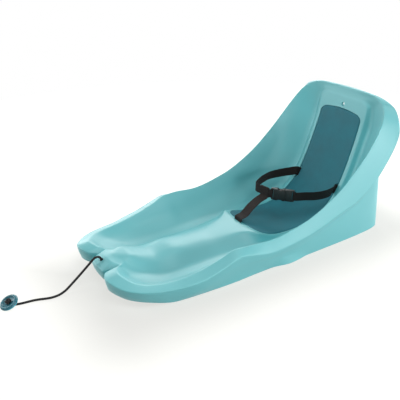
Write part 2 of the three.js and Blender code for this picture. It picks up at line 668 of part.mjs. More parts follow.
function padRows(isNotched) {
  const front = PAD_FRONT_SHARE * profileLength;
  const top = PAD_TOP_SHARE * profileLength;
  const fold = PAD_FOLD_SHARE * profileLength;
  const slot = BELT_SLOT_SHARE * profileLength;
  const notchEdge = BELT_SLOT_ACROSS_SHARE * HALF_WIDTH - PAD_NOTCH_ROOM;
  const reach = BELT_WIDTH / 2 + SLOT_END_ROOM + PAD_NOTCH_END_ROOM;
  const ramp = 2 * reach * NOTCH_RAMP_SHARE;
  const ends = PAD_END_ROW_SHARES.flatMap((share) => [
    front + PAD_FRONT_CORNER * share,
    top - PAD_TOP_CORNER * share,
  ]);
  const notch = [slot - reach - ramp, slot - reach, slot + reach, slot + reach + ramp];
  const taken = [...ends, ...notch, front + PAD_FRONT_CORNER * PAD_FRONT_ROW_SHARE];
  const even = [];
  for (let i = 1; i < PAD_ROW_COUNT; i += 1) {
    even.push(mix(front, top, i / PAD_ROW_COUNT));
  }
  const room = (top - front) / PAD_ROW_COUNT / 2;
  const kept = even.filter((place) => taken.every((other) => Math.abs(other - place) > room));
  return [...taken, ...kept].sort((a, b) => a - b).map((place) => {
    const sides = [PAD_SEAT_WIDTH / 2, PAD_TOP_WIDTH / 2];
    const straight = mix(sides[0], sides[1], clamp01((place - fold) / (top - fold)));
    const fromSlot = Math.abs(place - slot) - reach;
    const inNotch = isNotched ? clamp01(1 - fromSlot / ramp) : 0;
    const notched = Math.max(0, straight - notchEdge) * inNotch;
    const toEnd = Math.min(place - front, top - place);
    const corner = place - front < top - place ? PAD_FRONT_CORNER : PAD_TOP_CORNER;
    const inCorner = Math.max(0, corner - toEnd);
    const rounded = corner - Math.sqrt(Math.max(0, corner ** 2 - inCorner ** 2));
    return { place, half: straight - notched - rounded, toEnd, front, top };
  });
}

// A slab on the raised middle with the pad's outline, grown outwards, between two lifts of its
// lower and upper faces.
function padSlab(isNotched, grow, lower, upper) {
  const mesh = new Mesher();
  const rows = padRows(isNotched);
  const bowed = (row, x, grown) => {
    const fade = (distance) => clamp01(1 - distance / (BOW_FADE_SHARE * profileLength)) ** 2;
    const share = (x / (PAD_SEAT_WIDTH / 2)) ** 2;
    const front = PAD_FRONT_BOW * fade(row.place - row.front);
    const top = PAD_TOP_BOW * fade(row.top - row.place);
    return (grown + (front - top) * share) / profileLength;
  };
  const numbers = [lower, upper].map((lift) => rows.map((row, i) => {
    const half = row.half + grow;
    const end = i === 0 ? -grow : grow;
    const grown = row.place + (i === 0 || i === rows.length - 1 ? end : 0);
    const inside = half - PAD_EDGE;
    const right = [
      ...PAD_COLUMN_SHARES.map((share) => share * inside),
      ...PAD_EDGE_STEP_SHARES.map((share) => half - share * PAD_EDGE),
    ];
    const line = [...right.slice(1).reverse().map((x) => -x), ...right];
    return line.map((x) => {
      const toSide = half - Math.abs(x);
      return mesh.point(plateauPoint(bowed(row, x, grown), x, lift(toSide, row.toEnd)));
    });
  }));
  const [bottom, top] = numbers;
  mesh.grid(top, false);
  mesh.grid(bottom, true);
  const last = rows.length - 1;
  const wide = top[0].length - 1;
  mesh.grid([bottom[0], top[0]], false);
  mesh.grid([top[last], bottom[last]], false);
  mesh.grid([top.map((row) => row[0]), bottom.map((row) => row[0])], false);
  mesh.grid([bottom.map((row) => row[wide]), top.map((row) => row[wide])], false);
  return mesh.geometry();
}

// The foam thins towards its edge, where the cut sheet is pressed down and rounded.
function padGeometry() {
  const floor = CLEARANCE - RECESS_DEPTH;
  const rounded = (distance) =>
    mix(PAD_EDGE_FLOOR_SHARE, 1, 1 - (1 - clamp01(distance / PAD_EDGE)) ** 2);
  return padSlab(
    true,
    0,
    () => floor,
    (toSide, toEnd) => floor + PAD_THICKNESS * Math.min(rounded(toSide), rounded(toEnd)),
  );
}

function recess() {
  return padSlab(false, PAD_CLEARANCE, () => -RECESS_DEPTH, () => OVERRUN);
}

// The slots: each has a frame on the raised middle, with its length along one direction.
function beltSlot(side) {
  const frame = plateauFrame(BELT_SLOT_SHARE, side * BELT_SLOT_ACROSS_SHARE * HALF_WIDTH);
  return {
    ...frame,
    wide: frame.along,
    inward: frame.across.clone().multiplyScalar(-side),
    length: BELT_WIDTH + 2 * SLOT_END_ROOM,
    shift: 0,
    rodClearance: ROD_CLEARANCE,
  };
}

function crotchSlot() {
  const frame = plateauFrame(CROTCH_SLOT_SHARE, 0);
  return {
    ...frame,
    wide: frame.across,
    inward: frame.along,
    length: CROTCH_SLOT_LENGTH,
    shift: CROTCH_OFFSET,
    rodClearance: CROTCH_ROD_CLEARANCE,
  };
}

const slots = { right: beltSlot(1), left: beltSlot(-1), crotch: crotchSlot() };

function slotCut(slot) {
  const depth = 2 * (WALL + RECESS_DEPTH + OVERRUN);
  const thin = slot.out.clone().cross(slot.wide);
  return placed(slotPlate(slot.length, SLOT_WIDTH, depth), slot.wide, thin, slot.out, slot.at);
}

// The rod behind a slot, on the side that the webbing's hook turns to.
const hookRadius = ROD_RADIUS + CLEARANCE + HALF_WEBBING;

function rodCentre(slot) {
  const depth = WALL + RECESS_DEPTH + slot.rodClearance + ROD_RADIUS;
  return slot.at.clone()
    .addScaledVector(slot.out, -depth)
    .addScaledVector(slot.inward, hookRadius);
}

function slotRod(slot) {
  const reach = slot.length / 2 + ROD_OVERHANG;
  const centre = rodCentre(slot);
  const from = centre.clone().addScaledVector(slot.wide, -reach);
  return rodAlong(from, centre.clone().addScaledVector(slot.wide, reach), ROD_DIAMETER);
}

// The cord's hole in the nose, the hole near the top for hanging the sled up, and the opening in
// the rear face behind that hole, where a hand takes hold.
const CORD_HOLE_ALONG_SHARE = -0.933;
const CORD_HOLE_UP_SHARE = 0.157;
const CORD_HOLE_TILT = 26.6;
const HANG_HOLE_UP_SHARE = 0.866;
const cordHole = vec(0, CORD_HOLE_ALONG_SHARE * HALF_LENGTH, CORD_HOLE_UP_SHARE * HEIGHT);
const cordHoleTilt = THREE.MathUtils.degToRad(CORD_HOLE_TILT);
const cordHoleOut = vec(0, -Math.sin(cordHoleTilt), Math.cos(cordHoleTilt));

function holeCuts() {
  const reach = WALL + OVERRUN;
  const from = cordHole.clone().addScaledVector(cordHoleOut, -reach);
  const to = cordHole.clone().addScaledVector(cordHoleOut, reach);
  const height = HANG_HOLE_UP_SHARE * HEIGHT;
  const front = vec(0, profileY(1) - 2 * OVERRUN, height);
  const back = vec(0, profileY(1) + OVERRUN, height);
  const opening = placed(
    slotPlate(REAR_OPENING_LENGTH, REAR_OPENING_WIDTH, 2 * OVERRUN),
    vec(1, 0, 0),
    vec(0, 0, 1),
    vec(0, -1, 0),
    vec(0, HALF_LENGTH, height),
  );
  return [
    rodAlong(from, to, CORD_HOLE_DIAMETER),
    rodAlong(front, back, HANG_HOLE_DIAMETER),
    opening,
  ];
}

function shellGeometry() {
  const body = join(toSolid(mouldedWall()), toSolid(keel(1)), toSolid(keel(-1)));
  const cuts = [recess(), ...Object.values(slots).map(slotCut), ...holeCuts()];
  return toGeometry(cut(body, ...cuts.map(toSolid)));
}

// Webbing: a flat strap along a route. Each place on the route has a point and the direction that
// the strap's width lies in there.
function ribbon(route, width) {
  const mesh = new Mesher();
  const last = route.length - 1;
  const rings = route.map(({ at, wide }, i) => {
    const next = route[Math.min(last, i + 1)].at;
    const ahead = next.clone().sub(route[Math.max(0, i - 1)].at).normalize();
    const across = wide.clone().addScaledVector(ahead, -wide.dot(ahead)).normalize();
    const face = ahead.clone().cross(across);
    const corner = (x, y) => mesh.point(at.clone()
      .addScaledVector(across, x * width / 2)
      .addScaledVector(face, y * HALF_WEBBING));
    return [corner(-1, -1), corner(1, -1), corner(1, 1), corner(-1, 1)];
  });
  mesh.grid(rings.map((ring) => [...ring, ring[0]]), false);
  mesh.quad(...rings[0].slice().reverse());
  mesh.quad(...rings[last]);
  return mesh.geometry();
}

const UP = vec(0, 0, 1);
const HOOK_STEP = 36;
const SLOT_HOOK_SWEEP = 200;
const BAR_HOOK_SWEEP = 180;
const LOOP_SWEEP = 180;
const LOOP_CLOSING_SWEEP = 104;

// Points on an arc of a radius about a centre, from one direction towards another, in degrees.
function arc(centre, radius, first, second, from, to) {
  const count = Math.ceil(Math.abs(to - from) / HOOK_STEP);
  const points = [];
  for (let i = 0; i <= count; i += 1) {
    const angle = THREE.MathUtils.degToRad(mix(from, to, i / count));
    points.push(centre.clone()
      .addScaledVector(first, radius * Math.cos(angle))
      .addScaledVector(second, radius * Math.sin(angle)));
  }
  return points;
}

// The webbing's hook round the rod behind a slot, from its sewn end out through the slot.
function slotHook(slot) {
  const centre = rodCentre(slot).addScaledVector(slot.wide, slot.shift);
  const outer = slot.inward.clone().multiplyScalar(-1);
  const inner = slot.out.clone().multiplyScalar(-1);
  const turn = arc(centre, hookRadius, outer, inner, SLOT_HOOK_SWEEP, 0);
  const surface = slot.at.clone().addScaledVector(slot.wide, slot.shift);
  return [...turn, surface, surface.clone().addScaledVector(slot.out, SLOT_LEAD)]
    .map((at) => ({ at, wide: slot.wide }));
}

// The buckle's frame: towards the plug, up, and out of its front.
const BUCKLE_SHARES = [0.13, 0.387, 0.265];
const buckleAt = vec(
  BUCKLE_SHARES[0] * HALF_WIDTH,
  BUCKLE_SHARES[1] * HALF_LENGTH,
  BUCKLE_SHARES[2] * HEIGHT,
);
const buckleTurn = THREE.MathUtils.degToRad(BUCKLE_TURN);
const toPlug = vec(Math.cos(buckleTurn), Math.sin(buckleTurn), 0);
const toFront = toPlug.clone().cross(UP);
const inBuckle = (p, q, r) => buckleAt.clone()
  .addScaledVector(toPlug, p)
  .addScaledVector(UP, q)
  .addScaledVector(toFront, r);
const buckled = (geometry) => placed(geometry, toPlug, UP, toFront, buckleAt);

// Places along the buckle, from its middle: the socket's two ends, the plug's two ends and the
// bars that the webbing turns round.
const barRadius = BUCKLE_BAR_DIAMETER / 2;
const barHook = barRadius + CLEARANCE + HALF_WEBBING;
const barReach = barHook + WEBBING_THICKNESS + CLEARANCE;
const socketMouth = (SOCKET_LENGTH - PLUG_LENGTH) / 2;
const socketEnd = socketMouth - SOCKET_LENGTH;
const plugFace = socketMouth + CLEARANCE;
const plugEnd = plugFace + PLUG_LENGTH;
const socketBar = socketEnd - barReach;
const plugBar = plugEnd + barReach;

// The webbing's hook round a bar, from its sewn end round the back out over the front. Out is 1
// at the plug's end and -1 at the socket's.
function barHookRoute(bar, out) {
  const centre = inBuckle(bar, 0, 0);
  const away = toPlug.clone().multiplyScalar(-out);
  const turn = arc(centre, barHook, away, toFront, -BAR_HOOK_SWEEP / 2, BAR_HOOK_SWEEP / 2);
  const tail = inBuckle(bar + out * HOOK_TAIL, 0, -barHook);
  const lead = inBuckle(bar + out * HOOK_TAIL, 0, barHook);
  return [tail, ...turn, lead].map((at) => ({ at, wide: UP }));
}

const FREE_STEPS = 26;
const BELT_TURN_SHARE = 0.35;

// Fills a route between its two fixed ends with a smooth curve through chosen points, while the
// width's direction turns from one end's to the other's over a share of the way.
function freeRoute(from, points, to, turnShare) {
  const ends = [from[from.length - 2], from[from.length - 1], to[0], to[1]];
  const curve = new THREE.CatmullRomCurve3(
    [ends[0].at, ends[1].at, ...points, ends[2].at, ends[3].at],
    false,
    'centripetal',
  );
  const spans = points.length + 3;
  const middle = [];
  for (let i = 1; i < FREE_STEPS; i += 1) {
    const t = mix(1 / spans, 1 - 1 / spans, i / FREE_STEPS);
    const turned = smooth(i / FREE_STEPS / turnShare);
    const wide = ends[1].wide.clone().lerp(ends[2].wide, turned).normalize();
    middle.push({ at: curve.getPoint(t), wide });
  }
  return [...from, ...middle, ...to];
}

const byShares = (rows) => rows.map(([across, along, up]) =>
  vec(across * HALF_WIDTH, along * HALF_LENGTH, up * HEIGHT));

// The belt's free route on each side of the buckle, as shares of the shell's half width, half
// length and height, from the slot forwards.
const beltRightShares = [
  [0.443, 0.701, 0.27], [0.458, 0.639, 0.267], [0.417, 0.557, 0.265], [0.344, 0.498, 0.265],
];
const beltLeftShares = [
  [-0.438, 0.692, 0.27], [-0.484, 0.614, 0.267], [-0.505, 0.527, 0.265], [-0.458, 0.443, 0.265],
  [-0.375, 0.361, 0.265], [-0.297, 0.314, 0.265],
];

// The crotch strap's loop lies beside the socket, on a straight stretch of the belt.
const loopTurn = THREE.MathUtils.degToRad(LOOP_TURN);
const loopAlong = vec(Math.cos(loopTurn), Math.sin(loopTurn), 0);
const loopFront = loopAlong.clone().cross(UP);
const loopAt = inBuckle(socketBar - HOOK_TAIL, 0, barHook)
  .addScaledVector(loopAlong, -LOOP_LEAD - CROTCH_WIDTH / 2);

const reversed = (route) => route.slice().reverse();

function beltRight() {
  const out = reversed(barHookRoute(plugBar, 1));
  return ribbon(
    freeRoute(slotHook(slots.right), byShares(beltRightShares), out, BELT_TURN_SHARE),
    BELT_WIDTH,
  );
}

function beltLeft() {
  const half = CROTCH_WIDTH / 2;
  const through = [-half - LOOP_LEAD, -half - CLEARANCE, -half / 2, 0, half / 2, half + CLEARANCE]
    .map((x) => loopAt.clone().addScaledVector(loopAlong, x));
  const out = reversed(barHookRoute(socketBar, -1));
  return ribbon(
    freeRoute(
      slotHook(slots.left), [...byShares(beltLeftShares), ...through], out, BELT_TURN_SHARE,
    ),
    BELT_WIDTH,
  );
}

// The crotch strap rises from its slot and ends in a sewn loop round the belt.
const crotchShares = [[-0.07, 0.135, 0.13], [-0.1, 0.197, 0.165], [-0.113, 0.262, 0.2]];

function crotchLoop() {
  const radius = HALF_WEBBING + CLEARANCE + HALF_WEBBING;
  const top = loopAt.clone().addScaledVector(UP, BELT_WIDTH / 2);
  const foot = loopAt.clone().addScaledVector(UP, -BELT_WIDTH / 2);
  const back = loopFront.clone().multiplyScalar(-1);
  const over = arc(top, radius, loopFront, UP, 0, LOOP_SWEEP);
  const under = arc(foot, radius, back, UP.clone().multiplyScalar(-1), 0, LOOP_CLOSING_SWEEP);
  const front = foot.clone().addScaledVector(loopFront, radius);
  return [front, ...over, ...under].map((at) => ({ at, wide: loopAlong }));
}

function crotchStrap() {
  return ribbon(
    freeRoute(slotHook(slots.crotch), byShares(crotchShares), crotchLoop(), 1),
    CROTCH_WIDTH,
  );
}

// Blocks of the buckle in its own frame: from and to along, half the height and half the depth.
function block(from, to, low, high, depth, middle = 0) {
  return new THREE.BoxGeometry(to - from, high - low, depth)
    .translate((from + to) / 2, (low + high) / 2, middle);
}

const halfHeight = BUCKLE_HEIGHT / 2;
const cavityTop = BELT_WIDTH / 2 + CLEARANCE;
const cavityDepth = LATCH_DEPTH + 2 * LATCH_SIDE_ROOM;
const windowFront = socketMouth - WINDOW_SETBACK;
const windowBack = windowFront - SOCKET_WINDOW_LENGTH;
const waistTop = cavityTop + SOCKET_SIDE_WALL;
const railInner = BELT_WIDTH / 2 + RAIL_ROOM;

// Two rails and the bar between them, on an end of the socket or the plug.
function barFrame(from, bar, depth) {
  const out = Math.sign(bar - from);
  const tip = bar + out * barRadius;
  const root = from - out * barRadius;
  const [low, high] = [Math.min(root, tip), Math.max(root, tip)];
  return [
    block(low, high, railInner, halfHeight, depth),
    block(low, high, -halfHeight, -railInner, depth),
    rodAlong(vec(bar, -railInner - barRadius, 0), vec(bar, railInner + barRadius, 0),
      BUCKLE_BAR_DIAMETER),
  ].map(toSolid);
}

function socketGeometry() {
  const corner = SOCKET_WALL;
  const outline = [
    [socketEnd, corner - halfHeight], [socketEnd + corner, -halfHeight],
    [windowBack - corner, -halfHeight], [windowBack, -waistTop], [windowFront, -waistTop],
    [windowFront + corner, -halfHeight], [socketMouth, -halfHeight], [socketMouth, halfHeight],
    [windowFront + corner, halfHeight], [windowFront, waistTop], [windowBack, waistTop],
    [windowBack - corner, halfHeight], [socketEnd + corner, halfHeight],
    [socketEnd, halfHeight - corner],
  ];
  const ribs = [];
  for (let i = 0; i < GRIP_RIB_COUNT; i += 1) {
    const at = socketEnd + GRIP_RIB_PITCH * (i + 0.5);
    ribs.push(toSolid(block(
      at - GRIP_RIB_WIDTH / 2,
      at + GRIP_RIB_WIDTH / 2,
      corner - halfHeight,
      halfHeight - corner,
      2 * GRIP_RIB_HEIGHT,
      BUCKLE_DEPTH / 2,
    )));
  }
  const cavity = block(
    socketMouth - SOCKET_CAVITY_LENGTH, socketMouth + OVERRUN, -cavityTop, cavityTop, cavityDepth,
  );
  const windows = block(
    windowBack, windowFront, -halfHeight - OVERRUN, halfHeight + OVERRUN, cavityDepth,
  );
  const body = join(
    toSolid(plate(outline, BUCKLE_DEPTH)),
    ...barFrame(socketEnd, socketBar, 2 * BUCKLE_BAR_DIAMETER),
    ...ribs,
  );
  return buckled(toGeometry(cut(body, toSolid(cavity), toSolid(windows))));
}

// The latch arms turn about pins near the plug's face. Their heads stand in the socket's windows.
const pivotAlong = plugFace + LATCH_PIVOT_SEAT;
const pivotUp = halfHeight - LATCH_PIVOT_INSET;

function plugGeometry() {
  const seat = block(
    plugFace - OVERRUN, pivotAlong + LATCH_WIDTH / 2 + CLEARANCE,
    pivotUp - LATCH_WIDTH / 2 - LATCH_SEAT_ROOM, pivotUp + LATCH_WIDTH / 2 + LATCH_SEAT_ROOM,
    LATCH_DEPTH + 2 * CLEARANCE,
  );
  const tip = socketMouth - SOCKET_CAVITY_LENGTH + GUIDE_END_ROOM;
  const guideTop = GUIDE_WIDTH / 2;
  const body = join(
    toSolid(block(plugFace, plugEnd, -halfHeight, halfHeight, PLUG_DEPTH)),
    toSolid(block(tip, plugFace + CLEARANCE, -guideTop, guideTop, LATCH_DEPTH)),
    ...barFrame(plugEnd, plugBar, 2 * BUCKLE_BAR_DIAMETER),
  );
  const seats = [toSolid(seat), toSolid(seat.clone().rotateX(Math.PI))];
  return buckled(toGeometry(cut(body, ...seats)));
}

const LATCH_HEAD_FLAT_SHARE = 0.6;
const LATCH_ROOT_FACETS = 4;

function latchGeometry(side) {
  const rootTop = pivotUp + LATCH_WIDTH / 2;
  const rootLow = pivotUp - LATCH_WIDTH / 2;
  const neck = cavityTop - LATCH_TOP_ROOM;
  const head = waistTop + LATCH_HEAD_PROUD;
  const headFront = windowFront - LATCH_TOP_ROOM;
  const headBack = windowBack + CLEARANCE;
  const headRear = mix(headFront, headBack, LATCH_HEAD_FLAT_SHARE);
  const tip = socketMouth - SOCKET_CAVITY_LENGTH + LATCH_END_ROOM;
  const outline = [
    [pivotAlong, rootTop], [headFront, neck], [headFront, head], [headRear, head],
    [headBack, neck], [tip, neck - LATCH_WIDTH / 2], [tip, rootLow + LATCH_WIDTH / 4],
    [headFront, rootLow], [pivotAlong, rootLow],
  ];
  for (let i = 1; i < LATCH_ROOT_FACETS; i += 1) {
    const angle = -Math.PI / 2 + (Math.PI * i) / LATCH_ROOT_FACETS;
    const radius = LATCH_WIDTH / 2;
    outline.push([pivotAlong + radius * Math.cos(angle), pivotUp + radius * Math.sin(angle)]);
  }
  const arm = plate(outline.reverse(), LATCH_DEPTH);
  return buckled(side > 0 ? arm : arm.rotateX(Math.PI));
}

// The pull cord runs from its knot under the nose, out of the hole, down to the floor and on to
// the handle, which lies tilted over it. The routes are chosen by hand: the lead as X, Y and Z from
// the hole's place, the rest as X and Y from there and Z from the floor.
const cordLead = [
  [0, -2, 4], [0, -4.6, 7.6], [0, -8.6, 9.9], [0, -13.1, 10.4], [0, -17.2, 9.3],
  [0.2, -21.6, 6.2],
];
const cordRest = [
  [0.5, -34, 52], [1.5, -58, 33], [3, -78, 18.5], [5, -94, 8.6], [6.4, -106, 4.4],
  [7.2, -117, 3.1], [6.6, -129, 2.9], [3.4, -141, 2.9], [-1.2, -153, 2.9], [-5.2, -167, 2.9],
  [-7.4, -182, 2.9], [-9.6, -195, 2.9], [-12.4, -205, 3], [-13.4, -209.8, 3.7],
  [-13.9, -213, 5.7], [-14, -215.1, 8.2],
];
const handlePlace = [-14, -217, 12.1];
const handleDirection = [0.04, -0.382, 0.923];
const besideHole = ([x, y, z]) => vec(x, cordHole.y + y, z);
const handleOut = vec(...handleDirection).normalize();
const handleAt = besideHole(handlePlace);

// How far a knot's middle stands off the face round the hole that its end dips into.
const knotDip = Math.sqrt(1 - (CORD_HOLE_DIAMETER / KNOT_DIAMETER) ** 2);
const knotSeat = (KNOT_LENGTH / 2) * knotDip + CLEARANCE;
const dishFloor = HANDLE_THICKNESS / 2 - HANDLE_DISH_DEPTH;
const noseKnotAt = cordHole.clone().addScaledVector(cordHoleOut, -WALL - knotSeat);
const handleKnotAt = handleAt.clone().addScaledVector(handleOut, dishFloor + knotSeat);
const knotReach = KNOT_LENGTH / 2 + CLEARANCE;
const cordPoints = [
  noseKnotAt.clone().addScaledVector(cordHoleOut, knotReach),
  ...cordLead.map((place) => cordHole.clone().add(vec(...place))),
  ...cordRest.map(besideHole),
  handleKnotAt.clone().addScaledVector(handleOut, -knotReach),
];

function cordGeometry() {
  const outline = [];
  for (let i = 0; i < CORD_SIDES; i += 1) {
    const angle = (2 * Math.PI * i) / CORD_SIDES;
    const radius = CORD_DIAMETER / 2;
    outline.push(new THREE.Vector2(radius * Math.cos(angle), radius * Math.sin(angle)));
  }
  return new THREE.ExtrudeGeometry(new THREE.Shape(outline), {
    steps: CORD_STEPS,
    bevelEnabled: false,
    extrudePath: new THREE.CatmullRomCurve3(cordPoints, false, 'centripetal'),
  });
}

// A stopper knot, as a flattened ball with its short way along an axis.
function knotGeometry(centre, axis) {
  const ball = new THREE.SphereGeometry(KNOT_DIAMETER / 2, ROUND_SIDES / 2, ROUND_SIDES / 3);
  const turn = new THREE.Quaternion().setFromUnitVectors(vec(0, 1, 0), axis);
  return ball.scale(1, KNOT_LENGTH / KNOT_DIAMETER, 1)
    .applyQuaternion(turn)
    .translate(...centre.toArray());
}

// The handle's rim from its underside round the edge into the dish, as shares of the band between
// edge and dish inwards, and of half the thickness up.
const HANDLE_RIM_SHARES = [
  [0.75, -1], [0.167, -0.5], [0, 0], [0.083, 0.333], [0.5, 1], [0.833, 1], [1, 0.83],
  [1.5, dishFloor / (HANDLE_THICKNESS / 2)],
];

function handleGeometry() {
  const radius = HANDLE_DIAMETER / 2;
  const half = HANDLE_THICKNESS / 2;
  const bore = CORD_HOLE_DIAMETER / 2;
  const dish = HANDLE_DISH_DIAMETER / 2;
  const band = radius - dish;
  const profile = [
    [bore, -half],
    ...HANDLE_RIM_SHARES.map(([inwards, up]) => [radius - band * inwards, half * up]),
    [bore, dishFloor],
    [bore, -half],
  ].map(([r, z]) => new THREE.Vector2(r, z));
  const turn = new THREE.Quaternion().setFromUnitVectors(vec(0, 1, 0), handleOut);
  return new THREE.LatheGeometry(profile, ROUND_SIDES)
    .applyQuaternion(turn)
    .translate(...handleAt.toArray());
}

const sled = new THREE.Group();

function add(name, geometry, color, roughness, metalness = 0) {
  const material = new THREE.MeshStandardMaterial({ color, roughness, metalness });
  geometry.computeVertexNormals();
  const mesh = new THREE.Mesh(geometry, material);
  mesh.name = name;
  sled.add(mesh);
}

add('shell', shellGeometry(), COLORS.shell, 0.45);
add('seat_pad', padGeometry(), COLORS.pad, 0.95);
add('waist_strap_left', beltLeft(), COLORS.webbing, 0.9);
add('waist_strap_right', beltRight(), COLORS.webbing, 0.9);
add('crotch_strap', crotchStrap(), COLORS.webbing, 0.9);
add('strap_rod_left', slotRod(slots.left), COLORS.rod, 0.35, 1);
add('strap_rod_right', slotRod(slots.right), COLORS.rod, 0.35, 1);
add('strap_rod_crotch', slotRod(slots.crotch), COLORS.rod, 0.35, 1);
add('buckle_socket', socketGeometry(), COLORS.buckle, 0.5);
add('buckle_plug', plugGeometry(), COLORS.buckle, 0.5);
add('buckle_latch_upper', latchGeometry(1), COLORS.buckle, 0.5);
add('buckle_latch_lower', latchGeometry(-1), COLORS.buckle, 0.5);
add('pull_cord', cordGeometry(), COLORS.cord, 0.85);
add('cord_knot_nose', knotGeometry(noseKnotAt, cordHoleOut), COLORS.cord, 0.85);
add('cord_knot_handle', knotGeometry(handleKnotAt, handleOut), COLORS.cord, 0.85);
add('pull_handle', handleGeometry(), COLORS.handle, 0.4);

export default sled;
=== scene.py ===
"""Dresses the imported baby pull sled: the moulded shell, the foam pad, the harness and the cord."""

import math

import bmesh
import bpy
import numpy as np
from mathutils import Matrix, Vector


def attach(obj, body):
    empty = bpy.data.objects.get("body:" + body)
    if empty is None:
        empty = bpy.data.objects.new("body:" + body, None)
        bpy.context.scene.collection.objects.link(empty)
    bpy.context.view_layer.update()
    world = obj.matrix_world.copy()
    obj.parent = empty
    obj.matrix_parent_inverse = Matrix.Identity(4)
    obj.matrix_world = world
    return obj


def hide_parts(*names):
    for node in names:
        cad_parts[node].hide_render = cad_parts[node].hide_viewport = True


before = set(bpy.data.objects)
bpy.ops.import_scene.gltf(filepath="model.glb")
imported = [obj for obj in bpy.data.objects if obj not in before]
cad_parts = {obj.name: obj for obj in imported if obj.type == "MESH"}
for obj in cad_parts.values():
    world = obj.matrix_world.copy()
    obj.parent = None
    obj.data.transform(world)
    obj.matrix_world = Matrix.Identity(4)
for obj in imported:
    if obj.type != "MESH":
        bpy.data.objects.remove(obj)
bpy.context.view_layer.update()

MM = 0.001

# The shell's sizes and those of the webbing in millimetres. A ridge crowns the raised middle in
# front, and the seat is dished.
HALF_WIDTH, HALF_LENGTH, HEIGHT = 192.0, 402.0, 359.0
WALL, RECESS, GAP = 3.0, 5.0, 0.3
RIDGE_CROWN, RIDGE_HALF = 5.0, 0.1875 * HALF_WIDTH
SEAT_DISH, SEAT_HALF = 3.0, 0.458 * HALF_WIDTH
WEBBING, BELT, CROTCH, ROD = 1.6, 25.0, 30.0, 5.0

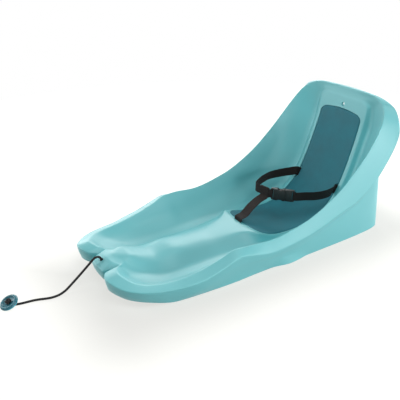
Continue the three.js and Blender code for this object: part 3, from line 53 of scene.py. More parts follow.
# The shell's guide curves by station on the way round the right half of the rim, 0 at the nose, 9
# at the knee and 18 at the top of the backrest, as shares of half the width, half the length and
# the height.
GUIDES = {
    "foot": [
        (0, 0, -0.851, 0.173), (1, 0.089, -0.846, 0.164), (2, 0.156, -0.826, 0.15),
        (3, 0.208, -0.816, 0.125), (4, 0.281, -0.776, 0.089), (5, 0.344, -0.706, 0.056),
        (6, 0.375, -0.632, 0.033), (7, 0.385, -0.557, 0.025), (8, 0.385, -0.458, 0.025),
        (9, 0.396, -0.269, 0.028), (10, 0.438, -0.035, 0.028), (10.35, 0.479, 0.085, 0.025),
        (11, 0.505, 0.254, 0.022), (11.6, 0.51, 0.478, 0.022), (12, 0.516, 0.637, 0.084),
        (12.6, 0.521, 0.784, 0.251), (13, 0.521, 0.838, 0.362), (14, 0.516, 0.91, 0.588),
        (15, 0.51, 0.953, 0.752), (16, 0.484, 0.963, 0.897), (17, 0.318, 0.955, 0.936),
        (18, 0, 0.955, 0.936),
    ],
    "valley": [
        (0, 0, -0.871, 0.17), (1, 0.104, -0.866, 0.162), (2, 0.182, -0.841, 0.148),
        (3, 0.25, -0.846, 0.128), (4, 0.365, -0.826, 0.095), (5, 0.458, -0.751, 0.067),
        (6, 0.531, -0.667, 0.036), (7, 0.552, -0.577, 0.028), (8, 0.552, -0.468, 0.025),
        (9, 0.562, -0.269, 0.028), (10, 0.583, -0.03, 0.031), (11, 0.604, 0.254, 0.033),
        (11.6, 0.615, 0.463, 0.045), (12, 0.615, 0.627, 0.095), (12.6, 0.615, 0.766, 0.256),
        (13, 0.615, 0.823, 0.373), (14, 0.604, 0.9, 0.596), (15, 0.583, 0.948, 0.763),
        (16, 0.531, 0.96, 0.914), (17, 0.344, 0.958, 0.953), (18, 0, 0.958, 0.953),
    ],
    "side": [
        (0, 0, -0.888, 0.17), (1, 0.115, -0.881, 0.162), (2, 0.198, -0.851, 0.148),
        (3, 0.266, -0.871, 0.145), (4, 0.401, -0.871, 0.128), (5, 0.542, -0.816, 0.097),
        (6, 0.656, -0.741, 0.078), (7, 0.729, -0.632, 0.075), (8, 0.766, -0.502, 0.086),
        (8.5, 0.776, -0.373, 0.106), (9, 0.786, -0.269, 0.123), (9.5, 0.786, -0.174, 0.106),
        (10, 0.802, -0.03, 0.106), (11, 0.818, 0.239, 0.134), (12, 0.828, 0.552, 0.234),
        (13, 0.818, 0.751, 0.451), (14, 0.786, 0.846, 0.643), (15, 0.729, 0.92, 0.813),
        (16, 0.594, 0.95, 0.947), (17, 0.375, 0.96, 0.969), (18, 0, 0.96, 0.969),
    ],
    "crest": [
        (0, 0, -0.91, 0.17), (1, 0.125, -0.9, 0.164), (2, 0.214, -0.866, 0.15), (3, 0.286, -0.9, 0.167),
        (4, 0.427, -0.92, 0.175), (5, 0.594, -0.881, 0.148), (6, 0.719, -0.806, 0.131),
        (7, 0.797, -0.672, 0.128), (8, 0.833, -0.522, 0.148), (8.5, 0.854, -0.373, 0.195),
        (9, 0.875, -0.274, 0.237), (9.5, 0.901, -0.179, 0.237), (10, 0.911, -0.03, 0.223),
        (11, 0.927, 0.229, 0.273), (12, 0.932, 0.478, 0.404), (13, 0.922, 0.669, 0.579),
        (14, 0.901, 0.791, 0.727), (15, 0.833, 0.891, 0.875), (16, 0.677, 0.94, 0.964),
        (17, 0.417, 0.958, 0.997), (18, 0, 0.963, 1),
    ],
    "lip": [
        (0, 0, -0.975, 0.134), (1, 0.161, -0.965, 0.128), (2, 0.203, -0.915, 0.131),
        (3, 0.271, -0.97, 0.15), (4, 0.438, -1, 0.162), (5, 0.656, -0.948, 0.134),
        (6, 0.823, -0.841, 0.12), (7, 0.927, -0.672, 0.111), (8, 0.99, -0.517, 0.128),
        (8.5, 1, -0.373, 0.173), (9, 1, -0.269, 0.209), (9.5, 1, -0.174, 0.184), (10, 1, -0.025, 0.15),
        (11, 1, 0.229, 0.173), (12, 1, 0.507, 0.262), (13, 1, 0.692, 0.334), (14, 0.995, 0.841, 0.468),
        (15, 0.99, 0.983, 0.752), (15.5, 0.945, 0.986, 0.852), (16, 0.833, 0.986, 0.939),
        (17, 0.49, 0.995, 0.986), (18, 0, 1, 0.994),
    ],
    "tuck": [
        (0, 0, -0.975, 0.106), (1, 0.167, -0.963, 0.106), (2, 0.198, -0.92, 0.111),
        (3, 0.26, -0.965, 0.123), (4, 0.432, -0.995, 0.128), (5, 0.651, -0.945, 0.106),
        (6, 0.818, -0.838, 0.092), (7, 0.922, -0.672, 0.084), (8, 0.979, -0.517, 0.095),
        (9, 0.99, -0.269, 0.162), (10, 0.99, -0.025, 0.123), (11, 0.984, 0.229, 0.139),
        (12, 0.969, 0.507, 0.228), (13, 0.958, 0.692, 0.301), (14, 0.943, 0.841, 0.435),
        (15, 0.901, 0.965, 0.713), (16, 0.75, 0.985, 0.869), (17, 0.458, 0.995, 0.919),
        (18, 0, 0.998, 0.93),
    ],
    "nape": [
        (0, 0, -0.973, 0.095), (1, 0.167, -0.963, 0.095), (2, 0.198, -0.92, 0.103),
        (3, 0.26, -0.965, 0.111), (4, 0.432, -0.993, 0.114), (5, 0.651, -0.945, 0.095),
        (6, 0.812, -0.838, 0.081), (7, 0.917, -0.672, 0.07), (8, 0.974, -0.517, 0.078),
        (9, 0.984, -0.269, 0.136), (10, 0.984, -0.025, 0.109), (11, 0.979, 0.229, 0.125),
        (12, 0.969, 0.507, 0.206), (13, 0.958, 0.692, 0.281), (14, 0.943, 0.841, 0.423),
        (15, 0.859, 0.953, 0.655), (16, 0.729, 0.985, 0.73), (17, 0.448, 0.99, 0.73),
        (18, 0, 0.99, 0.73),
    ],
    "waist": [
        (0, 0, -0.97, 0.084), (1, 0.167, -0.96, 0.084), (2, 0.198, -0.92, 0.092),
        (3, 0.26, -0.965, 0.1), (4, 0.432, -0.99, 0.1), (5, 0.646, -0.943, 0.081),
        (6, 0.807, -0.838, 0.067), (7, 0.911, -0.672, 0.056), (8, 0.969, -0.517, 0.061),
        (9, 0.974, -0.269, 0.111), (10, 0.974, -0.025, 0.095), (11, 0.974, 0.229, 0.111),
        (12, 0.964, 0.507, 0.184), (13, 0.958, 0.692, 0.262), (14, 0.938, 0.841, 0.412),
        (15, 0.833, 0.92, 0.462), (16, 0.625, 0.905, 0.468), (17, 0.385, 0.898, 0.474),
        (18, 0, 0.896, 0.474),
    ],
    "deck": [
        (0, 0, -0.965, 0.072), (1, 0.167, -0.958, 0.072), (2, 0.198, -0.92, 0.081),
        (3, 0.26, -0.963, 0.086), (4, 0.427, -0.985, 0.086), (5, 0.635, -0.94, 0.067),
        (6, 0.797, -0.836, 0.05), (7, 0.901, -0.672, 0.033), (8, 0.958, -0.517, 0.039),
        (9, 0.958, -0.269, 0.067), (10, 0.964, -0.025, 0.061), (11, 0.969, 0.229, 0.072),
        (12, 0.964, 0.507, 0.139), (13, 0.958, 0.692, 0.217), (14, 0.938, 0.846, 0.384),
        (15, 0.87, 0.915, 0.418), (16, 0.677, 0.95, 0.423), (17, 0.406, 0.96, 0.423),
        (18, 0, 0.96, 0.423),
    ],
    "hem": [
        (0, 0, -0.96, 0.056), (1, 0.167, -0.955, 0.058), (2, 0.198, -0.92, 0.067),
        (3, 0.26, -0.96, 0.072), (4, 0.417, -0.983, 0.072), (5, 0.625, -0.935, 0.053),
        (6, 0.786, -0.831, 0.031), (7, 0.885, -0.667, 0), (8, 0.917, -0.517, 0), (9, 0.943, -0.269, 0),
        (9.6, 0.938, -0.137, 0), (10, 0.938, -0.025, 0), (10.5, 0.99, 0.124, 0),
        (10.8, 0.979, 0.199, 0), (11.1, 0.958, 0.274, 0), (12, 0.958, 0.507, 0), (13, 0.953, 0.692, 0),
        (14, 0.938, 0.836, 0), (14.6, 0.917, 0.91, 0), (15, 0.865, 0.965, 0), (16, 0.677, 0.975, 0),
        (17, 0.396, 0.975, 0), (18, 0, 0.975, 0),
    ],
}

# The middle line from the nose to the top: a share of the way along, then Y and Z.
MIDDLE_LINE = [
    (0, -0.871, 0.173), (0.034, -0.791, 0.173), (0.074, -0.697, 0.139), (0.113, -0.604, 0.111),
    (0.163, -0.488, 0.125), (0.212, -0.373, 0.111), (0.254, -0.274, 0.103), (0.296, -0.174, 0.095),
    (0.356, -0.035, 0.103), (0.394, 0.055, 0.106), (0.423, 0.124, 0.078), (0.478, 0.249, 0.042),
    (0.521, 0.348, 0.036), (0.574, 0.473, 0.039), (0.608, 0.552, 0.061), (0.642, 0.622, 0.106),
    (0.686, 0.701, 0.178), (0.726, 0.761, 0.262), (0.774, 0.811, 0.373), (0.823, 0.853, 0.496),
    (0.861, 0.881, 0.591), (0.908, 0.91, 0.696), (0.94, 0.929, 0.788), (0.974, 0.943, 0.877),
    (1, 0.953, 0.947),
]

# Where the raised middle ends, on the middle line and at its edge, and the edge's place across.
MIDDLE_ENDS = [
    (0, 0.034), (2, 0.047), (4, 0.074), (6, 0.113), (7, 0.14), (7.6, 0.163), (8, 0.18),
    (8.5, 0.212), (9, 0.254), (9.5, 0.296), (10, 0.356), (10.35, 0.394), (10.6, 0.423), (11, 0.478),
    (11.3, 0.521), (11.6, 0.574), (11.8, 0.608), (12, 0.642), (12.3, 0.686), (12.6, 0.726),
    (13, 0.774), (13.5, 0.823), (14, 0.861), (15, 0.908), (16, 0.931), (17, 0.944), (18, 0.948),
]
EDGE_ENDS = [
    (0, 0.019), (1, 0.022), (2, 0.034), (3, 0.046), (4, 0.06), (5, 0.085), (6, 0.109), (7, 0.138),
    (7.6, 0.163), (8, 0.178), (9, 0.254), (9.5, 0.296), (10, 0.358), (10.2, 0.385), (10.35, 0.402),
    (10.6, 0.43), (11, 0.478), (11.3, 0.521), (11.6, 0.574), (11.8, 0.608), (12, 0.642),
    (12.3, 0.686), (12.6, 0.726), (13, 0.774), (13.5, 0.823), (14, 0.861), (15, 0.927), (16, 0.975),
    (17, 0.989), (18, 0.989),
]
EDGE_ACROSS = [
    (0, 0), (1, 0.068), (2, 0.125), (3, 0.156), (4, 0.172), (5, 0.182), (6, 0.182), (7, 0.182),
    (8, 0.188), (9, 0.198), (9.5, 0.208), (10, 0.24), (10.2, 0.312), (10.35, 0.396), (10.6, 0.438),
    (11, 0.458), (12, 0.469), (13, 0.469), (14, 0.464), (15, 0.458), (16, 0.448), (17, 0.302),
    (18, 0),
]


def point(x, y, z):
    return np.array([x, y, z], float)


def unit(v):
    return v / np.linalg.norm(v)


def mix(a, b, t):
    return a + (b - a) * t


def clamp(t):
    return min(1.0, max(0.0, t))


def soft_step(t):
    return clamp(t) ** 2 * (3 - 2 * clamp(t))


def turned(first, second, angle):
    """The direction at an angle, in radians, from the first of two directions to the second."""
    return first * math.cos(angle) + second * math.sin(angle)


def full_turn(count):
    return [2 * math.pi * i / count for i in range(count)]


def lengths(path):
    """How far along a path each of its places lies."""
    return np.cumsum([0.0] + [np.linalg.norm(b - a) for a, b in zip(path, path[1:])])


def headings(path, closed=False):
    """The direction ahead at each place of a path."""
    line = [path[-1], *path, path[0]] if closed else [path[0], *path, path[-1]]
    return [unit(b - a) for a, b in zip(line, line[2:])]


def eased(stations, values):
    """A smooth curve through values at given stations that never overshoots between them."""
    x, y = [float(s) for s in stations], [float(v) for v in values]
    last = len(x) - 1
    step = [b - a for a, b in zip(x, x[1:])]
    rise = [(b - a) / s for a, b, s in zip(y, y[1:], step)]
    slope = [rise[0]] + [0.0] * (last - 1) + [rise[-1]]
    for i in range(1, last):
        if rise[i - 1] * rise[i] > 0:
            before, after = 2 * step[i] + step[i - 1], step[i] + 2 * step[i - 1]
            slope[i] = (before + after) / (before / rise[i - 1] + after / rise[i])

    def at(u):
        i = 0
        while i < last - 1 and u > x[i + 1]:
            i += 1
        h, t = step[i], (u - x[i]) / step[i]
        left = (1 + 2 * t) * (1 - t) ** 2 * y[i] + t * (1 - t) ** 2 * h * slope[i]
        return left + t * t * (3 - 2 * t) * y[i + 1] + t * t * (t - 1) * h * slope[i + 1]

    return at


def mirrored_curve(rows, signs):
    """Curves by station that run on past both ends as the shell's other half does."""
    def beyond(row, end):
        return (2 * end[0] - row[0], *[v * s for v, s in zip(row[1:], signs)])

    rows = [beyond(rows[1], rows[0]), *rows, beyond(rows[-2], rows[-1])]
    stations, *columns = zip(*rows)
    return [eased(stations, column) for column in columns]


def guide(rows):
    across, along, up = mirrored_curve(rows, (-1, 1, 1))
    return lambda u: point(across(u) * HALF_WIDTH, along(u) * HALF_LENGTH, up(u) * HEIGHT)


# The raised middle: its line, and how it bends across, up as a ridge and down as a seat.
NEARBY, MIDDLE_SAMPLES = 0.002, 200
UP = point(0, 0, 1)
shares_along, shares_back, shares_up = zip(*MIDDLE_LINE)
middle_y = eased(shares_along, [y * HALF_LENGTH for y in shares_back])
middle_z = eased(shares_along, [z * HEIGHT for z in shares_up])
RIDGE_BEND = -RIDGE_CROWN / RIDGE_HALF ** 2
SEAT_BEND = SEAT_DISH / SEAT_HALF ** 2
bend_at = eased(
    [0, 0.25, 0.4, 0.62, 0.72, 1], [RIDGE_BEND, RIDGE_BEND, SEAT_BEND, SEAT_BEND, 0, 0]
)


def middle_point(along):
    return point(0, middle_y(along), middle_z(along))


def middle_direction(along):
    return unit(middle_point(min(1, along + NEARBY)) - middle_point(max(0, along - NEARBY)))


def raised_frame(along, x):
    """A place on the raised middle's face, with its directions along, out and across."""
    ahead, bend = middle_direction(along), bend_at(along)
    up = point(0, -ahead[2], ahead[1])
    at = middle_point(along) + point(x, 0, 0) + up * (bend * x * x)
    out = unit(up - point(2 * bend * x, 0, 0))
    return {"at": at, "along": ahead, "out": out, "across": np.cross(ahead, out)}


def raised_point(along, x, lift=0.0):
    place = raised_frame(along, x)
    return place["at"] + place["out"] * lift


middle_length = lengths([
    middle_point(i / MIDDLE_SAMPLES) for i in range(MIDDLE_SAMPLES + 1)
])[-1]


def placed(name, data):
    """An object of that data at the origin, in the scene."""
    obj = bpy.data.objects.new(name, data)
    bpy.context.scene.collection.objects.link(obj)
    return obj


class Mould:
    """Gathers a piece's points, in millimetres, and its faces with their places on the cloth."""

    def __init__(self):
        self.points, self.faces, self.places = [], [], {}

    def add(self, at, place=None):
        self.points.append(tuple(float(v) * MM for v in at))
        if place is not None:
            self.places[len(self.points) - 1] = place
        return len(self.points) - 1

    def grid(self, rows, flipped=False):
        """Faces between rows of points, with a corner less where two of them are one point."""
        for near, far in zip(rows, rows[1:]):
            for ring in zip(near, near[1:], far[1:], far):
                face = [v for k, v in enumerate(ring) if v != ring[k - 1]]
                if len(face) > 2:
                    self.faces.append(face[::-1] if flipped else face)

    def sleeve(self, rings, flipped=False, capped=True):
        """Faces between closed rings of points, and over the first and the last of them."""
        self.grid([[*ring, ring[0]] for ring in rings], flipped)
        if capped:
            caps = [rings[0][::-1], rings[-1]]
            self.faces += [cap[::-1] for cap in caps] if flipped else caps

    def piece(self, name, corner_places=None):
        mesh = bpy.data.meshes.new(name)
        mesh.from_pydata(self.points, [], self.faces)
        if self.places:
            layer = mesh.uv_layers.new(name="cloth").data
            for polygon in mesh.polygons:
                for loop in polygon.loop_indices:
                    v = mesh.loops[loop].vertex_index
                    place = corner_places(polygon, v) if corner_places else self.places[v]
                    layer[loop].uv = place
        return placed(name, mesh)


def smooth_over(obj, degrees):
    """Smooth shading, with the edges sharper than an angle kept."""
    mesh = obj.data
    mesh.polygons.foreach_set("use_smooth", [True] * len(mesh.polygons))
    mesh.set_sharp_from_angle(angle=math.radians(degrees))
    return obj


def settled(obj):
    """The piece with its modifiers worked into its mesh."""
    bpy.context.view_layer.update()
    graph = bpy.context.evaluated_depsgraph_get()
    mesh = bpy.data.meshes.new_from_object(obj.evaluated_get(graph))
    mesh.name = obj.name
    obj.modifiers.clear()
    obj.data = mesh
    return obj


def outward(obj):
    """Turns a closed piece's faces outwards, once its doubles are merged."""
    work = bmesh.new()
    work.from_mesh(obj.data)
    bmesh.ops.remove_doubles(work, verts=work.verts, dist=1e-7)
    bmesh.ops.recalc_face_normals(work, faces=work.faces)
    work.to_mesh(obj.data)
    work.free()
    return obj


def carve(obj, tools, operation="DIFFERENCE"):
    """Cuts the tools out of a closed piece, or joins them to it, and takes them away."""
    for tool in tools:
        change = obj.modifiers.new("carve", "BOOLEAN")
        change.object, change.operation, change.solver = tool, operation, "MANIFOLD"
    settled(obj)
    for tool in tools:
        bpy.data.objects.remove(tool)
    return obj


# The camera stands where the photograph was taken from, in metres.
CAMERA_AT = (1.007, -0.749, 0.738)
CAMERA_RIGHT, CAMERA_UP = (0.5417, 0.8406, 0.0), (-0.3767, 0.2427, 0.8940)
LENS, SENSOR = 47.7, 36.0


def set_camera():
    data = bpy.data.cameras.new("camera")
    data.lens, data.sensor_width, data.sensor_height = LENS, SENSOR, SENSOR
    camera = placed("camera", data)
    right, up = Vector(CAMERA_RIGHT), Vector(CAMERA_UP)
    turn = Matrix((right, up, right.cross(up))).transposed().to_4x4()
    camera.matrix_world = Matrix.Translation(CAMERA_AT) @ turn
    bpy.context.scene.camera = camera


set_camera()


def chain(points):
    """A curve through points that doesn't overshoot between uneven ones, by share of the way."""
    p = [np.array(q, float) for q in points]
    last = len(p) - 1
    ends = [2 * p[0] - p[1], *p, 2 * p[-1] - p[-2]]

    def at(t):
        i = min(int(t * last), last - 1)
        w = t * last - i
        a, b, c, d = ends[i:i + 4]
        g0, g1, g2 = [np.linalg.norm(v) ** 0.5 for v in (b - a, c - b, d - c)]
        leaving = ((b - a) / g0 - (c - a) / (g0 + g1) + (c - b) / g1) * g1
        coming = ((c - b) / g1 - (d - b) / (g1 + g2) + (d - c) / g2) * g1
        bend = 3 * (c - b) - 2 * leaving - coming
        twist = 2 * (b - c) + leaving + coming
        return b + leaving * w + bend * w ** 2 + twist * w ** 3

    return at


def rope_tube(name, path, radius, sides, closed=False):
    """A round tube along a path, with its turn and its length as its places on the cloth."""
    mould, rings, ways = Mould(), [], headings(path, closed)
    side = np.cross(ways[0], point(0.3, 0.1, 1))
    for at, ahead, length in zip(path, ways, lengths(path)):
        side = unit(side - ahead * side.dot(ahead))
        other = np.cross(ahead, side)
        rings.append([
            mould.add(at + turned(side, other, a) * radius, (s / sides, length * MM))
            for s, a in enumerate(full_turn(sides))
        ])
    mould.sleeve(rings + rings[:1] if closed else rings, flipped=True, capped=not closed)

    def seamless(polygon, v):
        """A corner's place, a whole turn on where its face closes the round."""
        turn, length = mould.places[v]
        turns = [mould.places[k][0] for k in polygon.vertices]
        closes = turn == 0 and max(turns) > 0.5 and len(turns) == 4
        return (turn + 1 if closes else turn, length)

    return smooth_over(mould.piece(name, seamless), degrees=60)


# The cord's hole in the nose, its knots and the handle.
CORD, HOLE, KNOT_ACROSS, KNOT_LENGTH = 5.5, 9.0, 13.0, 9.0
KNOT_STRAND, KNOT_REACH, KNOT_LOBE, KNOT_RISE = 2.15, 3.9, 1.55, 2.1
HANDLE_RADIUS, HANDLE_HALF, DISH_RADIUS, DISH_DEPTH = 21.3, 5.0, 14.5, 4.0
BORE_EDGE, BORE_LIP = 0.6, [(0.7, 0), (0.2, -0.25), (0, -0.8)]
CORD_STEPS, CORD_SIDES, KNOT_STEPS, KNOT_SIDES, HANDLE_SIDES = 280, 20, 120, 14, 96
hole_tilt = math.radians(26.6)
hole_at = point(0, -0.933 * HALF_LENGTH, 0.157 * HEIGHT)
hole_out = point(0, -math.sin(hole_tilt), math.cos(hole_tilt))
knot_seat = KNOT_LENGTH / 2 * math.sqrt(1 - (HOLE / KNOT_ACROSS) ** 2) + GAP
knot_reach = KNOT_LENGTH / 2 + GAP
handle_at = hole_at * (0, 1, 0) + point(-14, -217, 12.1)
handle_out = unit(point(0.04, -0.382, 0.923))
nose_knot_at = hole_at - hole_out * (WALL + knot_seat)
handle_knot_at = handle_at + handle_out * (HANDLE_HALF - DISH_DEPTH + knot_seat)

# The cord's route in millimetres: out of its hole, and then over the floor, from the hole forwards.
CORD_LEAD = [
    (0, -2, 4), (0, -4.6, 7.6), (0, -8.6, 9.9), (0, -13.1, 10.4), (0, -17.2, 9.3),
    (0.2, -21.6, 6.2),
]
CORD_REST = [
    (0.5, -34, 52), (1.5, -58, 33), (3, -78, 18.5), (5, -94, 8.6), (6.4, -106, 4.4),
    (7.2, -117, 3.1), (6.6, -129, 2.9), (3.4, -141, 2.9), (-1.2, -153, 2.9), (-5.2, -167, 2.9),
    (-7.4, -182, 2.9), (-9.6, -195, 2.9), (-12.4, -205, 3), (-13.4, -209.8, 3.7),
    (-13.9, -213, 5.7), (-14, -215.1, 8.2),
]

# The handle's rolled rim, from its back over the edge into the dish: shares of the way in from the
# edge to the dish, and of half the thickness.
HANDLE_RIM = [
    (0.95, -1), (0.75, -0.98), (0.5, -0.86), (0.28, -0.66), (0.12, -0.4), (0.03, -0.12),
    (0, 0.14), (0.06, 0.42), (0.18, 0.66), (0.36, 0.86), (0.56, 0.97), (0.76, 1),
    (0.9, 0.95), (1.0, 0.84), (1.1, 0.66), (1.24, 0.44), (1.45, 0.28), (1.7, 0.22),
]


def cord_path():
    run = chain([
        nose_knot_at + hole_out * knot_reach,
        *[hole_at + point(*p) for p in CORD_LEAD],
        *[point(p[0], hole_at[1] + p[1], p[2]) for p in CORD_REST],
        handle_knot_at - handle_out * knot_reach,
    ])
    return [run(i / CORD_STEPS) for i in range(CORD_STEPS + 1)]


def stopper_knot(name, centre, axis):
    """A tight overhand knot of the cord, with the two strands' ends taken in."""
    side = unit(np.cross(axis, point(1, 0, 0.2)))
    other = np.cross(axis, side)
    path = [
        centre + turned(side, other, 2 * a) * (KNOT_REACH + KNOT_LOBE * math.cos(3 * a))
        + axis * (KNOT_RISE * math.sin(3 * a))
        for a in full_turn(KNOT_STEPS)
    ]
    return rope_tube(name, path, KNOT_STRAND, KNOT_SIDES, closed=True)


def handle_grip():
    """The turned handle: a thick disc with a rolled rim, a dished face and the cord's bore."""
    band = HANDLE_RADIUS - DISH_RADIUS
    bore, floor = HOLE / 2, HANDLE_HALF - DISH_DEPTH
    profile = [
        (bore + BORE_EDGE, -HANDLE_HALF),
        *[(HANDLE_RADIUS - band * s, HANDLE_HALF * t) for s, t in HANDLE_RIM],
        *[(bore + out, floor + up) for out, up in BORE_LIP],
        (bore, -HANDLE_HALF + BORE_EDGE),
    ]
    side = unit(np.cross(handle_out, UP))
    other = np.cross(handle_out, side)
    mould = Mould()
    rings = [
        [
            mould.add(
                handle_at + handle_out * z + turned(side, other, a) * r, (r / HANDLE_RADIUS, z)
            )
            for a in full_turn(HANDLE_SIDES)
        ]
        for r, z in profile
    ]
    mould.sleeve(rings + rings[:1], flipped=True, capped=False)
    return smooth_over(mould.piece("handle_grip"), degrees=50)


route = cord_path()
cord = rope_tube("pull_rope", route, CORD / 2, CORD_SIDES)
nose_knot = stopper_knot("rope_knot_nose", nose_knot_at, hole_out)
handle_knot = stopper_knot("rope_knot_handle", handle_knot_at, handle_out)
handle = handle_grip()


# The moulded shell. Its corners from the seat outwards: guide, rounding, facets of the rounding,
# and straight steps on to the next corner.
CORNERS = [
    ("foot", 9, 6, 1), ("valley", 18, 6, 1), ("side", 22, 6, 3), ("crest", 4.5, 6, 1),
    ("lip", 3.5, 6, 1), ("tuck", 3, 3, 1), ("nape", 9, 3, 1), ("waist", 8, 4, 1), ("deck", 4, 3, 3),
]
MOST_ROUNDED = 0.46
MIDDLE_STEPS = 8
STATION_SPANS = [(0, 5, 40), (5, 9, 26), (9, 11, 26), (11, 12.6, 16), (12.6, 15, 18), (15, 18, 26)]
guides = {name: guide(rows) for name, rows in GUIDES.items()}
middle_end, = mirrored_curve(MIDDLE_ENDS, (1,))
edge_end, = mirrored_curve(EDGE_ENDS, (1,))
edge_across, = mirrored_curve(EDGE_ACROSS, (-1,))
shoulder_rounding = eased([0, 9, 11, 18], [14, 14, 3.5, 3.5])
seat_thickening = eased([0, 9.6, 10.6, 18], [0, 0, 1, 1])


def straight(start, stop, steps):
    """The places of a straight stretch after its start, as a section lists them."""
    return [(mix(start, stop, j / steps), True, 0.0) for j in range(1, steps + 1)]


def shell_section(u):
    """One section of the outer face: places, whether the lining has them, and how raised."""
    half = edge_across(u) * HALF_WIDTH
    curved = half > GAP

    def middle(t):
        return raised_point(mix(middle_end(u), edge_end(u), t * t if curved else t), half * t)

    ends = [middle(1), *[guides[corner[0]](u) for corner in CORNERS], guides["hem"](u)]
    first = max(np.linalg.norm(middle(0) - ends[0]), GAP)
    reach = [first, *[np.linalg.norm(b - a) for a, b in zip(ends, ends[1:])]]
    corners = [("shoulder", shoulder_rounding(u), 6, 1), *CORNERS]
    points, leaving, onwards = [], None, 0
    for i, (_, rounding, facets, steps) in enumerate(corners):
        at = ends[i]
        back = min(rounding, MOST_ROUNDED * min(reach[i], reach[i + 1]))
        if i == 0:
            stop = 1 - back / first
            points += [(middle(stop * j / MIDDLE_STEPS), True, 1.0) for j in range(MIDDLE_STEPS)]
            start = middle(stop)
        else:
            start = at + unit(ends[i - 1] - at) * back
            points += straight(leaving, start, onwards)[:-1]
        leaving, onwards = at + unit(ends[i + 1] - at) * back, steps
        for k in range(facets + 1):
            t = k / facets
            place = start * (1 - t) ** 2 + at * (2 * t * (1 - t)) + leaving * t * t
            points.append((place, k in (0, facets // 2, facets), (1 - t / 2) if i == 0 else 0.0))
    return points + straight(leaving, ends[-1], onwards)


def facing(rows):
    """Outward directions of the sections' points, from their neighbours on both halves."""
    places = np.array([[p[0] for p in row] for row in rows])
    flip = np.array([-1.0, 1.0, 1.0])
    before, after = places[1:2] * flip, places[-2:-1] * flip
    onwards = np.concatenate([places[1:], after]) - np.concatenate([before, places[:-1]])
    left, right = places[:, 1:2] * flip, places[:, -1:]
    outwards = np.concatenate([places[:, 1:], right], 1) - np.concatenate([left, places[:, :-1]], 1)
    normals = np.cross(outwards, onwards)
    normals[0, :, 0] = normals[-1, :, 0] = normals[:, 0, 0] = 0
    normals[:, -1, 2] = 0
    normals[0, 0], normals[-1, 0] = normals[0, 1], normals[-1, 1]
    return normals / np.maximum(np.linalg.norm(normals, axis=2, keepdims=True), 1e-9)


def moulding():
    """The wall as one closed mesh: its outer face, its lining, and the hem that joins them."""
    stations = [0.0]
    for a, b, count in STATION_SPANS:
        stations += [mix(a, b, i / count) for i in range(1, count + 1)]
    rows = [shell_section(u) for u in stations]
    for row in (rows[0], rows[-1]):
        for p in row:
            p[0][0] = 0
    mould = Mould()

    def both_halves(faces):
        right = [[mould.add(at) for at in row] for row in faces]
        last = len(faces) - 1
        left = [
            [
                right[i][j] if i in (0, last) or j == 0 else mould.add(at * (-1, 1, 1))
                for j, at in enumerate(row)
            ]
            for i, row in enumerate(faces)
        ]
        return right, left

    outer = both_halves([[p[0] for p in row] for row in rows])
    lining = both_halves([
        [
            p[0] - normal * (WALL + RECESS * p[2] * soft_step(seat_thickening(u)))
            for p, normal in zip(row, normals) if p[1]
        ]
        for u, row, normals in zip(stations, rows, facing(rows))
    ])
    for side, (skin, inner) in enumerate(zip(outer, lining)):
        mould.grid(skin, bool(side))
        mould.grid(inner, not side)
        mould.grid([[a[-1], b[-1]] for a, b in zip(skin, inner)], bool(side))
    return mould.piece("moulded_shell")


# The webbing's slots, the cord's hole, and the hanging hole with the grip open behind it.
SLOT_ALONG, SLOT_ACROSS, SLOT_WIDE = 0.726, 0.39 * HALF_WIDTH, 3.0
CROTCH_SLOT_ALONG, CROTCH_SLOT_LENGTH = 0.4, 46.0
HANG_HEIGHT, GRIP_LENGTH, GRIP_TALL = 0.866 * HEIGHT, 64.0, 30.0
REAR_SKIN = HALF_LENGTH - 2.2


def slot_outline(length, width):
    """A slot with round ends, by how much it has grown."""
    def grown(grow):
        radius, half = width / 2 + grow, (length - width) / 2
        turns = [math.pi * (i / 12 - 0.5) for i in range(13)]
        right = [(half + radius * math.cos(a), radius * math.sin(a)) for a in turns]
        return right + [(-x, -y) for x, y in right]

    return grown


def hole_outline(radius):
    return lambda grow: [
        ((radius + grow) * math.cos(a), (radius + grow) * math.sin(a)) for a in full_turn(40)
    ]


def flared_tool(name, outline, at, across, up, out, depth, flare=0.8):
    """A cutter for a slot or a hole that leaves a rounded edge where it meets the face at zero."""
    levels = [
        (-depth, 0.0), (-flare, 0.0), (-0.5 * flare, 0.13), (-0.13 * flare, 0.5), (0.0, 1.0),
        (depth, 1.0),
    ]
    mould = Mould()
    mould.sleeve([
        [mould.add(at + across * x + up * y + out * h) for x, y in outline(grow * flare)]
        for h, grow in levels
    ])
    return outward(mould.piece(name))


def belt_slot(side):
    place = raised_frame(SLOT_ALONG, side * SLOT_ACROSS)
    return place | {
        "wide": place["along"], "inward": place["across"] * -side,
        "length": BELT + 3, "sunk": RECESS, "shift": 0.0, "rod_gap": 0.5,
    }


def crotch_slot():
    place = raised_frame(CROTCH_SLOT_ALONG, 0)
    return place | {
        "wide": place["across"], "inward": place["along"],
        "length": CROTCH_SLOT_LENGTH, "sunk": 0.0, "shift": -7.0, "rod_gap": 2.3,
    }


slots = {"right": belt_slot(1), "left": belt_slot(-1), "crotch": crotch_slot()}


def slot_tool(slot):
    return flared_tool(
        "slot_tool", slot_outline(slot["length"], SLOT_WIDE),
        slot["at"] - slot["out"] * slot["sunk"], slot["wide"],
        np.cross(slot["out"], slot["wide"]), slot["out"], depth=20,
    )


